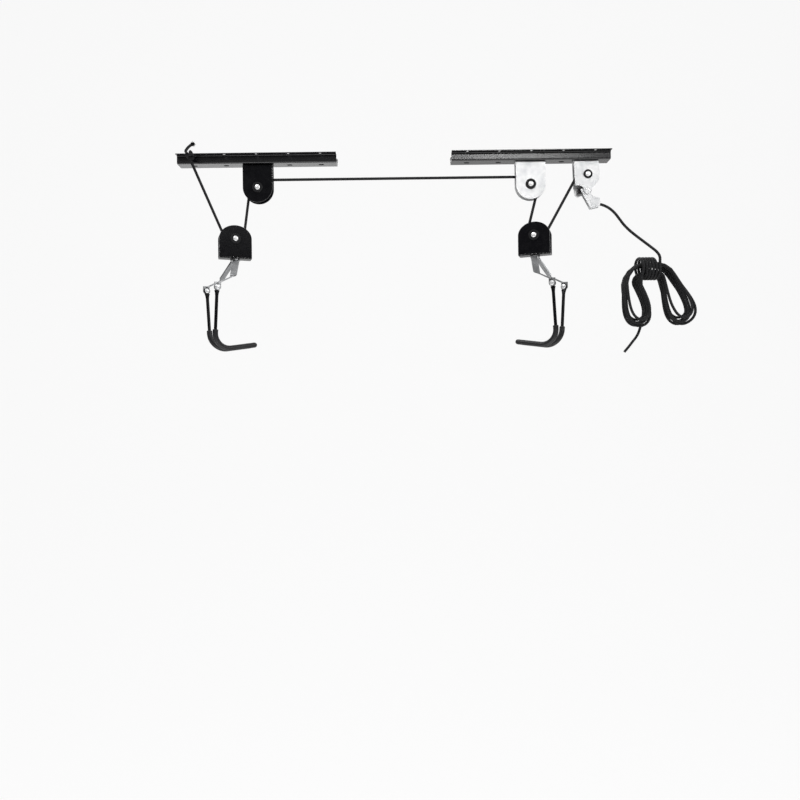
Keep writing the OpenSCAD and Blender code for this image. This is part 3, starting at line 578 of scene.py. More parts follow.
def lathe(name, profile, matrix, steps=48):
    # The profile is (radius, height) in order; ends at radius 0 close the solid, others make a ring
    ring = profile[0][0] > 0
    rows = []
    verts = []
    for radius, height in profile:
        if radius == 0:
            rows.append([len(verts)] * steps)
            verts.append((0, 0, height))
        else:
            rows.append(list(range(len(verts), len(verts) + steps)))
            verts += [(radius * math.cos(2 * math.pi * k / steps),
                       radius * math.sin(2 * math.pi * k / steps), height) for k in range(steps)]
    pairs = list(zip(rows, rows[1:])) + ([(rows[-1], rows[0])] if ring else [])
    faces = []
    for low, high in pairs:
        for k in range(steps):
            j = (k + 1) % steps
            face = []
            for v in (low[k], low[j], high[j], high[k]):
                if v not in face:
                    face.append(v)
            faces.append(face)
    obj = meshObject(name, verts, faces)
    fixNormals(obj)
    return moved(obj, matrix)


def joined(name, objects):
    mesh = bpy.data.meshes.new(name)
    bm = bmesh.new()
    for obj in objects:
        bm.from_mesh(obj.data)
        bpy.data.objects.remove(obj)
    bm.to_mesh(mesh)
    bm.free()
    return linkObject(name, mesh)


def loft(name, rings):
    n = len(rings[0])
    verts = [p for ring in rings for p in ring]
    faces = [(i * n + k, i * n + (k + 1) % n, (i + 1) * n + (k + 1) % n, (i + 1) * n + k)
             for i in range(len(rings) - 1) for k in range(n)]
    faces += [tuple(range(n - 1, -1, -1)), tuple(range((len(rings) - 1) * n, len(rings) * n))]
    obj = meshObject(name, verts, faces)
    fixNormals(obj)
    return obj


# Places shared by the pieces, in millimetres
axleZ = -60
rearAxle = (0, axleZ)
frontAxle = (516, axleZ)
lockAxle = (624, -42.5)
leverPivot = (622.3, -72)
pinHole = 2.05
rearBlock = (-46, -157)
frontBlock = (524, -157)
blockYaw = {"rear": 20, "front": -20}
blockAt = {"rear": rearBlock, "front": frontBlock}
hookYaw = {"rear": 35, "front": 145}
blockBelow = 37
screwPitch = 36
rearScrews = [rearAxle[0] - screwPitch / 2, rearAxle[0] + screwPitch / 2]
frontScrews = [frontAxle[0] - screwPitch / 2, frontAxle[0] + screwPitch / 2]
lockScrews = [607, 635]


# Rails: pressed hat sections with real bends
railSizes = {
    "length": 300, "height": 16, "crown": 28, "flange": 10, "sheet": 1.5, "bend": 1.2,
    "holePitch": 60, "holes": 5, "holeDiameter": 6, "slotLength": 10, "slotWidth": 6,
    "screwDiameter": 5.1, "slotSteps": 24, "edge": 0.2,
}


def makeRail(name, node, centre, fixings):
    s = railSizes
    half, foot, t = s["crown"] / 2, s["crown"] / 2 + s["flange"], s["sheet"]
    inner, outer = s["bend"], s["bend"] + t
    section = filleted([
        (-foot, 0, 0), (-foot, -t, 0), (-half, -t, inner), (-half, -s["height"], outer),
        (half, -s["height"], outer), (half, -t, inner), (foot, -t, 0), (foot, 0, 0),
        (half - t, 0, outer), (half - t, -s["height"] + t, inner),
        (-half + t, -s["height"] + t, inner), (-half + t, 0, outer),
    ])
    rail = prism(name, section, "X", centre - s["length"] / 2, centre + s["length"] / 2)
    cuts = []
    over = cutters["over"]
    middle = (s["holes"] - 1) / 2
    for i in range(s["holes"]):
        x = centre + (i - middle) * s["holePitch"]
        for side in (-1, 1):
            y = side * (foot - s["flange"] / 2)
            cuts.append(prism("hole", circle(x, y, s["holeDiameter"] / 2, 28), "Z", -2 * t, over))
        straight = (s["slotLength"] - s["slotWidth"]) / 2
        slot, n = [], s["slotSteps"]
        for k in range(n):
            a = 2 * math.pi * k / n
            shift = straight if k < n / 4 or k > 3 * n / 4 else -straight
            slot.append((x + shift + s["slotWidth"] / 2 * math.cos(a), s["slotWidth"] / 2 * math.sin(a)))
        cuts.append(prism("slot", slot, "Z", -s["height"] - over, -s["height"] + t + over))
    cuts += [webHole(x, s["screwDiameter"] / 2, -s["height"], t) for x in fixings]
    combine(rail, [joined("cuts", cuts)], "DIFFERENCE")
    litRails.objects.link(finished(rail, [node], "gloss", s["edge"], "coatEdge"))


makeRail("rearRail", "rear_rail", rearAxle[0], rearScrews)
makeRail("frontRail", "front_rail", frontAxle[0], frontScrews + lockScrews)
print("rails ready")


# Brackets: one folded sheet, an inverted U with two cheeks
bracketSizes = {
    "width": 56, "gap": 13, "sheet": 2, "bend": 1.2, "top": -railSizes["height"], "axleHole": 3.05,
    "screwHole": 2.55, "arcSteps": 40, "edge": 0.35,
}


def foldedU(name, sizes, webZ, freeZ, left, right):
    # A U section of sheet along X; webZ is the outside of the web, freeZ the ends of the cheeks
    sheet, bend = sizes["sheet"], sizes["bend"]
    inner = sizes["gap"] / 2
    outer = inner + sheet
    inside = webZ + (sheet if freeZ > webZ else -sheet)
    section = filleted([
        (-outer, freeZ, 0), (-outer, webZ, bend + sheet), (outer, webZ, bend + sheet),
        (outer, freeZ, 0), (inner, freeZ, 0), (inner, inside, bend), (-inner, inside, bend),
        (-inner, freeZ, 0),
    ])
    return prism(name, section, "X", left, right)


def makeBracket(name, node, centre, screws, look, edgeLook):
    s = bracketSizes
    half, over, n = s["width"] / 2, cutters["over"], s["arcSteps"]
    shell = foldedU(name, s, s["top"], axleZ - half - over, centre - half - over, centre + half + over)
    outline = [(centre - half, s["top"] + over), (centre + half, s["top"] + over)]
    outline += [(centre + half * math.cos(math.pi * i / n), axleZ - half * math.sin(math.pi * i / n))
                for i in range(n + 1)]
    combine(shell, [slab("outline", outline)], "INTERSECT")
    holes = [crossHole(centre, axleZ, s["axleHole"])]
    holes += [webHole(x, s["screwHole"], s["top"] - s["sheet"], s["sheet"]) for x in screws]
    combine(shell, [joined("holes", holes)], "DIFFERENCE")
    finished(shell, [node], look, s["edge"], edgeLook)


makeBracket("rearBracket", "rear_bracket", rearAxle[0], rearScrews, "coat", "coatEdge")
makeBracket("frontBracket", "front_bracket", frontAxle[0], frontScrews, "zinc", None)

lockBracketSizes = {
    "width": 46, "below": 37.5, "left": 0.565, "cheek": 45, "corner": 0.9,
    "front": [(0.49, -0.08), (0.457, -0.29), (0.15, -0.77), (0.085, -0.93), (-0.02, -1),
              (-0.12, -0.95), (-0.165, -0.8), (-0.185, -0.68), (-0.315, -0.573), (-0.52, -0.56)],
    "back": [(0.49, -0.08), (0.457, -0.29), (0.15, -0.77), (0.085, -0.93), (-0.02, -1),
             (-0.16, -0.98), (-0.27, -1.02), (-0.34, -1.08), (-0.43, -1.04), (-0.49, -0.9),
             (-0.53, -0.56)],
}


def makeLockBracket():
    s, b = lockBracketSizes, bracketSizes
    x, z = lockAxle
    left, right = x - s["left"] * s["width"], x + (1 - s["left"]) * s["width"]
    halves = []
    over = cutters["over"]
    for side, low, high in (("front", -cutters["across"], 0), ("back", 0, cutters["across"])):
        half = foldedU("lockBracket", b, b["top"], z - s["cheek"], left - over, right + 2 * over)
        edge = [(x + u * s["width"], z + v * s["below"]) for u, v in s[side]]
        outline = filleted([(left, b["top"] + over, 0), (right, b["top"] + over, 0)] + [
            (*p, s["corner"] if 0 < i < len(edge) - 1 else 0) for i, p in enumerate(edge)], 4)
        halves.append(combine(half, [prism(side, outline, "Y", low, high)], "INTERSECT"))
    shell = combine(halves[0], [halves[1]], "UNION")
    holes = [crossHole(x, z, b["axleHole"]), crossHole(*leverPivot, pinHole, 24)]
    holes += [webHole(at, b["screwHole"], b["top"] - b["sheet"], b["sheet"]) for at in lockScrews]
    combine(shell, [joined("holes", holes)], "DIFFERENCE")
    finished(shell, ["lock_bracket"], "zinc", b["edge"])


makeLockBracket()
print("brackets ready")


# Blocks: a U of sheet, open at the top, with small holes along each fold
blockSizes = {
    "width": 60, "gap": 21, "sheet": 2, "bend": 1.5, "above": 25, "below": blockBelow, "edge": 0.3,
    "holes": 8, "holePitch": 7, "holeDiameter": 3, "arcSteps": 40, "drillReach": 7,
    "axleHole": 3.05, "swivelHole": 4.05,
}


def makeBlock(side):
    s = blockSizes
    half, over, n = s["width"] / 2, cutters["over"], s["arcSteps"]
    shell = foldedU(f"{side}BlockShell", s, -s["below"], s["above"] + over, -half - over, half + over)
    outline = [(-half, -s["below"] - over), (half, -s["below"] - over)]
    outline += [(half * math.cos(math.pi * i / n), s["above"] * math.sin(math.pi * i / n))
                for i in range(n + 1)]
    combine(shell, [slab("outline", outline)], "INTERSECT")
    holes = [crossHole(0, 0, s["axleHole"]), webHole(0, s["swivelHole"], -s["below"], s["sheet"], 32)]
    outer = s["gap"] / 2 + s["sheet"]
    for fold in (-1, 1):
        for i in range(s["holes"]):
            x = (i - (s["holes"] - 1) / 2) * s["holePitch"]
            drill = prism("drill", circle(0, 0, s["holeDiameter"] / 2, 16), "Z",
                          -s["drillReach"], s["drillReach"])
            tilt = Matrix.Rotation(math.radians(45 * fold), 4, "X")
            place = Matrix.Translation((x * mm, fold * outer * mm, -s["below"] * mm))
            holes.append(moved(drill, place @ tilt))
    combine(shell, [joined("holes", holes)], "DIFFERENCE")
    moved(shell, atPlace(*blockAt[side], blockYaw[side]))
    finished(shell, [f"{side}_block_shell"], "coat", s["edge"], "wornEdge")


makeBlock("rear")
makeBlock("front")
print("blocks ready")


# Axles, rivets, washers and sheaves, turned on their own axes
turnedSizes = {
    "axle": 6, "head": 9.5, "headHeight": 2, "washer": 20, "lockWasher": 17, "washerThick": 1.2,
    "pin": 4, "pinHead": 6.5, "pitch": 16, "sheave": 39, "sheaveWidth": 11.6, "groove": 3.1,
    "bore": 3.05, "hub": 6.5, "web": 11.5, "dish": 1.5, "rim": 0.5, "slope": 0.3, "rimCorner": 0.5,
    "washerCorner": 0.35, "grooveFrom": 120, "grooveStep": 12, "sheaveSteps": 72, "edge": 0.15,
    "straightShare": 0.35, "domeSteps": 5,     # of a rivet's head
}


def depthOf(sizes):
    # Over both cheeks of a bracket or block
    return sizes["gap"] + 2 * sizes["sheet"]


def acrossY(x, z, turn=0):
    # Stands the lathe's own axis along Y at this place
    return atPlace(x, z, turn) @ Matrix.Rotation(math.radians(90), 4, "X")


def domedRivet(name, matrix, length, shank, head, height, steps=40):
    half, n = length / 2, turnedSizes["domeSteps"]
    straight = turnedSizes["straightShare"] * height
    dome = [(head / 2, half), (head / 2, half + straight)]
    for k in range(1, n + 1):
        a = math.pi / 2 * k / n
        dome.append((head / 2 * math.cos(a), half + straight + (height - straight) * math.sin(a)))
    dome[-1] = (0, half + height)
    top = [(shank / 2, half)] + dome
    profile = [(r, -h) for r, h in reversed(top)] + top
    return lathe(name, profile, matrix, steps)


def makeTurned():
    s = turnedSizes
    stacks = {"rear_bracket": (rearAxle, 0), "front_bracket": (frontAxle, 0), "lock": (lockAxle, 0)}
    for side in ("rear", "front"):
        stacks[f"{side}_block"] = (blockAt[side], blockYaw[side])
    for stack, (at, turn) in stacks.items():
        depth = depthOf(blockSizes if "block" in stack else bracketSizes)
        place = acrossY(*at, turn)
        name = stack.replace("_b", "B")
        axle = domedRivet(f"{name}Axle", place, depth + 2 * s["washerThick"], s["axle"], s["head"],
                          s["headHeight"])
        finished(axle, [f"{stack}_axle"], "bright", 0)
        outer = (s["lockWasher"] if stack == "lock" else s["washer"]) / 2
        rings = []
        for side in (-1, 1):
            low, high = side * depth / 2, side * (depth / 2 + s["washerThick"])
            rim = s["washerCorner"]
            rings.append(lathe("ring", [
                (s["bore"], low), (outer, low), (outer, high - side * rim), (outer - rim, high),
                (s["bore"], high),
            ], place))
        finished(joined(f"{name}Washers", rings), [f"{stack}_washers"], "nylon", 0)
        half = s["sheaveWidth"] / 2
        profile = sheaveProfile(s, half)
        sheave = lathe(f"{name}Sheave", profile, place, s["sheaveSteps"])
        finished(sheave, [f"{stack}_sheave"], "nylon", s["edge"])


def sheaveProfile(s, half):
    # One side from the bore outwards, then down the groove and back on the other side
    outer, slope = s["sheave"] / 2, s["slope"]
    side = [(s["bore"], half), (s["hub"], half), (s["hub"] + slope, half - s["dish"]),
            (s["web"] - slope, half - s["dish"]), (s["web"], half), (outer - s["rimCorner"], half),
            (outer, half - slope), (outer, half - s["rim"])]
    side += [(s["pitch"] + s["groove"] * math.cos(math.radians(a)), s["groove"] * math.sin(math.radians(a)))
             for a in range(s["grooveFrom"], 181, s["grooveStep"])]
    return side + [(r, -h) for r, h in reversed(side)][1:]


makeTurned()
pin = domedRivet("lockPivotPin", acrossY(*leverPivot), depthOf(bracketSizes), turnedSizes["pin"],
                 turnedSizes["pinHead"], turnedSizes["headHeight"])
finished(pin, ["lock_pivot_pin"], "bright", 0)
print("axles, washers and sheaves ready")


# Rope lock: lever with two cheeks, a saddle strip and a lip, and its toothed cam
leverSizes = {
    "reach": 36, "gap": 8, "sheet": 1.5, "eye": 5.6, "saddleRadius": 13,
    "saddleAt": (0.475, -0.29), "start": 188, "end": 257, "exit": 11, "lipBack": 6, "corner": 0.9,
    "ropePlay": 0.3, "lipPlay": 0.6, "arcSteps": 14, "edge": 0.25,
    "front": [(0.17, 0.06), (-0.05, 0.15), (-0.33, 0.06), (-0.3, -0.04), (0.2, -0.97), (0.66, -0.87),
              (0.72, -0.6), (0.42, -0.54), (0.28, -0.48), (0.2, -0.34), (0.19, -0.2)],
    "back": [(0.17, 0.06), (-0.05, 0.15), (-0.33, 0.06), (-0.3, -0.04), (0.2, -0.97), (0.66, -0.87),
             (0.78, -0.34), (0.52, -0.3), (0.34, -0.18), (0.24, -0.02)],
}
saddle = (leverPivot[0] + leverSizes["saddleAt"][0] * leverSizes["reach"],
          leverPivot[1] + leverSizes["saddleAt"][1] * leverSizes["reach"])


def polar(centre, radius, angle):
    a = math.radians(angle)
    return (centre[0] + radius * math.cos(a), centre[1] + radius * math.sin(a))


saddleOut = polar(saddle, leverSizes["saddleRadius"], leverSizes["end"])
ropeExit = polar(saddleOut, leverSizes["exit"], leverSizes["end"] + 90)


def makeLever():
    s = leverSizes
    outer = s["gap"] / 2 + s["sheet"]
    parts = []
    for side, low, high in (("front", -outer, -s["gap"] / 2), ("back", s["gap"] / 2, outer)):
        cheek = [(leverPivot[0] + u * s["reach"], leverPivot[1] + v * s["reach"]) for u, v in s[side]]
        plate = prism(side, filleted([(*p, s["corner"]) for p in cheek], 4), "Y", low, high)
        eye = prism("eye", circle(*leverPivot, s["eye"], 40), "Y", low, high)
        parts.append(combine(plate, [eye], "UNION"))
    strip = s["saddleRadius"] - ropeSizes["diameter"] / 2 - s["ropePlay"]
    n = s["arcSteps"]
    angles = [s["start"] + (s["end"] - s["start"]) * i / n for i in range(n + 1)]
    inside = [polar(saddle, strip - s["sheet"], a) for a in angles]
    outside = [polar(saddle, strip, a) for a in angles]
    inside.append(polar(inside[-1], s["exit"], s["end"] + 90))
    outside.append(polar(outside[-1], s["exit"], s["end"] + 90))
    parts.append(prism("saddle", inside + outside[::-1], "Y", -outer, outer))
    lip = ropeSizes["diameter"] / 2 + s["lipPlay"]
    base = polar(saddle, s["saddleRadius"] + lip, s["end"])
    start = polar(base, -s["lipBack"], s["end"] + 90)
    stop = polar(base, s["exit"], s["end"] + 90)
    away = [polar(p, s["sheet"], s["end"]) for p in (stop, start)]
    parts.append(prism("lip", [start, stop] + away, "Y", -outer, outer))
    lever = combine(parts[0], parts[1:], "UNION")
    lever.name = "lockLever"
    combine(lever, [crossHole(*leverPivot, pinHole, 24)], "DIFFERENCE")
    finished(lever, ["lock_lever"], "zinc", s["edge"])


makeLever()


# Copies of turned or cut pieces whose own shape is right, with rounded edges
def softened(node, name, look, edge):
    mesh = frame["nodes"][node].data.copy()
    obj = linkObject(name, mesh)
    bm = bmesh.new()
    bm.from_mesh(mesh)
    bmesh.ops.remove_doubles(bm, verts=bm.verts, dist=meshSizes["copyWeld"])
    bmesh.ops.dissolve_limit(bm, angle_limit=math.radians(meshSizes["flatAngle"]), verts=bm.verts,
                             edges=bm.edges)
    bm.to_mesh(mesh)
    bm.free()
    finished(obj, [node], look, edge)


softened("lock_cam", "lockCam", "nylon", edge=0.3)
for node, name in (("bracket_spacers", "bracketSpacers"), ("rear_block_spacers", "rearBlockSpacers"),
                   ("front_block_spacers", "frontBlockSpacers")):
    softened(node, name, "zinc", edge=0.1)
print("rope lock ready")


# Hooks
hookSizes = {
    "strap": 12, "thick": 2.5, "play": 0.3, "disc": 9, "crease": (-17, 32, -38), "armHalf": 30,
    "rodBack": 46, "rodTop": 60, "tab": 13, "bendReach": 5, "rod": 6, "sleeve": 10,
    "paddle": 6, "paddleThick": 4, "depth": 170, "cradleHalf": 11, "rodPlay": 0.05,
    "bendRadius": 28, "rise": 9, "cradle": 46, "lap": 6, "rivet": 5, "rivetHead": 9, "rivetHigh": 1.8,
    "edge": 0.3, "earSteps": 20, "bendSteps": 24, "sleeveSides": 28,
    "headSteps": 9, "headStart": 0.2, "headPower": 4,     # rings of the flattened head's round end
    "tipSteps": 6, "tipStep": 14,                         # rings of the sleeve's dome, degrees apart
    # depth, half width, half thickness and squareness, from the flattened head to the round rod
    "neck": ((-6, 4.9, 2, 4), (-9, 4, 2.2, 3), (-12, 3.4, 2.6, 2.4), (-16, 3, 3, 2)),
    "neckEnd": 20,
    # distance and radius at the sleeve's rolled upper edge
    "cuff": ((0, 3.1), (0.05, 4.1), (0.5, 4.8), (1.2, 5.15), (2.6, 5.15), (3.6, 5)),
    # radius and height of the rivet that the hanger turns on
    "swivel": ((0, 4.5), (4, 4.5), (6.4, 3.8), (7, 2.6), (7, 2), (4, 2), (4, -2.8), (7, -2.8), (7, -3.6),
               (6.2, -4.8), (3.5, -5.3), (0, -5.4)),
}


def hookPlace(side):
    x, z = blockAt[side]
    return atPlace(x, z - blockBelow, hookYaw[side])


def ribbon(name, points, width, thick, bendReach, steps=6):
    # A flat strap along straight runs with rounded bends, its width level and square to each run
    runs = [(Vector(b) - Vector(a)).normalized() for a, b in zip(points, points[1:])]
    sides = [Vector((0, 0, 1)).cross(run).normalized() for run in runs]
    stations = [(Vector(points[0]), runs[0], sides[0])]
    for i in range(1, len(points) - 1):
        corner = Vector(points[i])
        start, stop = corner - runs[i - 1] * bendReach, corner + runs[i] * bendReach
        for k in range(steps + 1):
            t = k / steps
            place = start * (1 - t) ** 2 + corner * 2 * t * (1 - t) + stop * t * t
            stations.append((place, runs[i - 1].lerp(runs[i], t).normalized(),
                             sides[i - 1].lerp(sides[i], t).normalized()))
    stations.append((Vector(points[-1]), runs[-1], sides[-1]))
    rings = []
    for place, run, side in stations:
        side = (side - run * side.dot(run)).normalized()
        up = run.cross(side)
        rings.append([place + side * width / 2 * u + up * thick / 2 * v
                      for u, v in ((-1, -1), (1, -1), (1, 1), (-1, 1))])
    return loft(name, rings)


def makeHanger(side):
    s = hookSizes
    t, n = s["thick"], s["earSteps"]
    disc = prism("disc", circle(0, 0, s["disc"], 48), "Z", -s["play"] - t, -s["play"])
    parts = []
    for way in (-1, 1):
        cx, cy, cz = s["crease"]
        top = (0, way * s["strap"] / 2, -s["play"] - t / 2)
        crease = (cx, way * cy, cz)
        end = (-s["rodBack"], way * s["armHalf"], -s["rodTop"] + s["tab"] / 2)
        parts.append(ribbon("strap", [top, crease, end], s["strap"], t, s["bendReach"]))
        low, high = way * s["armHalf"] - t / 2, way * s["armHalf"] + t / 2
        half = s["strap"] / 2
        ear = [(-s["rodBack"] + half * math.cos(math.pi * i / n),
                -s["rodTop"] - half * math.sin(math.pi * i / n)) for i in range(n + 1)]
        ear += [(-s["rodBack"] - half, -s["rodTop"] + s["tab"] / 2 + t),
                (-s["rodBack"] + half, -s["rodTop"] + s["tab"] / 2 + t)]
        parts.append(prism("ear", ear, "Y", low, high))
    hanger = combine(disc, parts, "UNION")
    hanger.name = f"{side}Hanger"
    above = prism("above", circle(0, 0, 2 * s["strap"], 24), "Z", -s["play"], s["strap"])
    combine(hanger, [above], "DIFFERENCE")
    moved(hanger, hookPlace(side))
    finished(hanger, [f"{side}_hanger"], "dull", s["edge"])


def rodStations():
    # Reach, depth and turn along the middle line of a rod, in its own leaning plane
    s = hookSizes
    lean = math.atan((rodIn() - s["cradleHalf"]) / (s["depth"] - s["rodTop"]))
    straight = (s["depth"] - s["rodTop"]) / math.cos(lean) - s["bendRadius"]
    n = s["bendSteps"]
    bend = [(s["bendRadius"] * (1 - math.cos(math.radians(a))),
             -straight - s["bendRadius"] * math.sin(math.radians(a)), a)
            for a in [(90 + s["rise"]) * i / n for i in range(n + 1)]]
    return lean, straight, bend


def rodIn():
    s = hookSizes
    return s["armHalf"] - s["thick"] / 2 - s["rodPlay"] - s["paddleThick"] / 2


def onward(station, distance):
    reach, depth, turn = station
    a = math.radians(turn)
    return (reach + distance * math.sin(a), depth - distance * math.cos(a), turn)


def section(station, wide, thick, power=2, steps=20):
    reach, depth, turn = station
    a = math.radians(turn)
    ring = []
    for k in range(steps):
        t = 2 * math.pi * k / steps
        u = math.copysign(abs(math.cos(t)) ** (2 / power), math.cos(t)) * wide
        v = math.copysign(abs(math.sin(t)) ** (2 / power), math.sin(t)) * thick
        ring.append((reach + u * math.cos(a), v, depth + u * math.sin(a)))
    return ring


def makeHook(side):
    s = hookSizes
    lean, straight, bend = rodStations()
    tip = bend[-1]
    rods, sleeves, rivets = [], [], []
    halfPaddle, halfRod = s["paddleThick"] / 2, s["rod"] / 2
    for way in (-1, 1):
        place = (Matrix.Translation((-s["rodBack"] * mm, way * rodIn() * mm, -s["rodTop"] * mm))
                 @ Matrix.Rotation(-way * lean, 4, "X"))
        rings = []
        for k in range(s["headSteps"]):
            h = s["paddle"] * math.cos(math.pi * k / (s["headSteps"] + 1) + s["headStart"])
            rings.append(section((0, h, 0), math.sqrt(s["paddle"] ** 2 - h * h), halfPaddle,
                                s["headPower"]))
        rings += [section((0, depth, 0), wide, thick, power) for depth, wide, thick, power in s["neck"]]
        rings.append(section((0, -straight + s["neckEnd"], 0), halfRod, halfRod))
        rings += [section(at, halfRod, halfRod) for at in bend]
        rings.append(section(onward(tip, s["cradle"]), halfRod, halfRod))
        rods.append(moved(loft("rod", rings), place))

        cover = s["sleeve"] / 2
        top = (0, -straight + s["lap"], 0)
        stations = [(onward(top, d), r) for d, r in s["cuff"]]
        stations += [(at, cover) for at in bend] + [(onward(tip, s["cradle"]), cover)]
        for k in range(1, s["tipSteps"] + 1):
            a = math.radians(s["tipStep"] * k)
            stations.append((onward(tip, s["cradle"] + cover * math.sin(a)), cover * math.cos(a)))
        tube = [section(at, r, r, steps=s["sleeveSides"]) for at, r in stations]
        sleeves.append(moved(loft("sleeve", tube), place))

        outer, inner = s["armHalf"] + s["thick"] / 2, rodIn() - s["paddleThick"] / 2
        rivet = domedRivet("rivet", Matrix.Translation(
            (-s["rodBack"] * mm, way * (outer + inner) / 2 * mm, -s["rodTop"] * mm))
            @ Matrix.Rotation(math.radians(90), 4, "X"), outer - inner, s["rivet"], s["rivetHead"],
            s["rivetHigh"])
        rivets.append(rivet)
    for name, node, group, look in (("HookRods", "hook_rods", rods, "coat"),
                                    ("HookSleeves", "hook_sleeves", sleeves, "rubber"),
                                    ("HookRivets", "hook_rivets", rivets, "zinc")):
        obj = moved(joined(side + name, group), hookPlace(side))
        finished(obj, [f"{side}_{node}"], look, 0)
    rivet = lathe(f"{side}SwivelRivet", s["swivel"], hookPlace(side), 40)
    finished(rivet, [f"{side}_swivel_rivet"], "bright", 0)


for side in ("rear", "front"):
    makeHanger(side)
    makeHook(side)
print("hooks ready")


# Bracket screws and nuts: one mesh, set at each fixing by geometry nodes
fixingSizes = {
    "screw": 5, "head": 9, "headHeight": 2.4, "long": 9, "nut": 8, "nutHeight": 4, "play": 0.05,
    "tip": 0.6, "edge": 0.15,
    "recess": (2.2, 0.55, 1.2),      # reach, half width and depth of the cross
    # how far in from the head's rim and up from its top
    "dome": ((2.2, 0), (1, 0.5), (0.2, 1.3), (0, 2)),
}


def newTree(name, sockets):
    tree = bpy.data.node_groups.new(name, "GeometryNodeTree")
    tree.interface.new_socket("Geometry", in_out="OUTPUT", socket_type="NodeSocketGeometry")
    tree.interface.new_socket("Geometry", in_out="INPUT", socket_type="NodeSocketGeometry")
    for label, kind in sockets:
        tree.interface.new_socket(label, in_out="INPUT", socket_type=kind)
    return tree, tree.nodes.new("NodeGroupInput"), tree.nodes.new("NodeGroupOutput")


def applyTree(obj, tree, values):
    step = obj.modifiers.new("nodes", "NODES")
    step.node_group = tree
    for item in tree.interface.items_tree:
        if item.item_type == "SOCKET" and item.in_out == "INPUT" and item.name in values:
            step[item.identifier] = values[item.name]
    return settle(obj)


def partsAtPoints():
    tree, start, stop = newTree("partsAtPoints", [("Part", "NodeSocketObject"),
                                                  ("Material", "NodeSocketMaterial")])
    info = socketNode(tree, "GeometryNodeObjectInfo")
    points = socketNode(tree, "GeometryNodeMeshToPoints")
    place = socketNode(tree, "GeometryNodeInstanceOnPoints")
    real = socketNode(tree, "GeometryNodeRealizeInstances")
    paint = socketNode(tree, "GeometryNodeSetMaterial")
    link = tree.links.new
    link(start.outputs["Geometry"], points.inputs["Mesh"])
    link(start.outputs["Part"], info.inputs["Object"])
    link(points.outputs["Points"], place.inputs["Points"])
    link(info.outputs["Geometry"], place.inputs["Instance"])
    link(place.outputs["Instances"], real.inputs["Geometry"])
    link(real.outputs["Geometry"], paint.inputs["Geometry"])
    link(start.outputs["Material"], paint.inputs["Material"])
    link(paint.outputs["Geometry"], stop.inputs["Geometry"])
    return tree


def makeFixings():
    s = fixingSizes
    tree = partsAtPoints()
    head, shank, base = s["head"] / 2, s["screw"] / 2, -s["headHeight"]
    tip, over = s["tip"], cutters["over"]
    screw = lathe("screw", [(0, base)] + [(head - inward, base + up) for inward, up in s["dome"]] + [
        (head, 0), (shank, 0), (shank, s["long"] - tip), (shank - tip, s["long"]), (0, s["long"])],
        Matrix.Identity(4), 32)
    reach, half, deep = s["recess"]
    slots = [prism("slot", [(-u, -v), (u, -v), (u, v), (-u, v)], "Z", base - over, base + deep)
             for u, v in ((reach, half), (half, reach))]
    combine(screw, slots, "DIFFERENCE")
    nut = prism("nut", circle(0, 0, s["nut"] / 2 / math.cos(math.pi / 6), 6), "Z", 0, s["nutHeight"])
    combine(nut, [webHole(0, shank + s["play"], 0, s["nutHeight"])], "DIFFERENCE")
    underWeb = bracketSizes["top"] - bracketSizes["sheet"]
    insideRail = railSizes["sheet"] - railSizes["height"]
    for name, node, part, z in (("bracketScrews", "bracket_screws", screw, underWeb),
                                ("bracketNuts", "bracket_nuts", nut, insideRail)):
        points = meshObject(name, [(x, 0, z) for x in rearScrews + frontScrews + lockScrews], [])
        applyTree(points, tree, {"Part": part, "Material": looks["bright"]})
        finished(points, [node], "bright", s["edge"])
        bpy.data.objects.remove(part)


makeFixings()
print("screws and nuts ready")


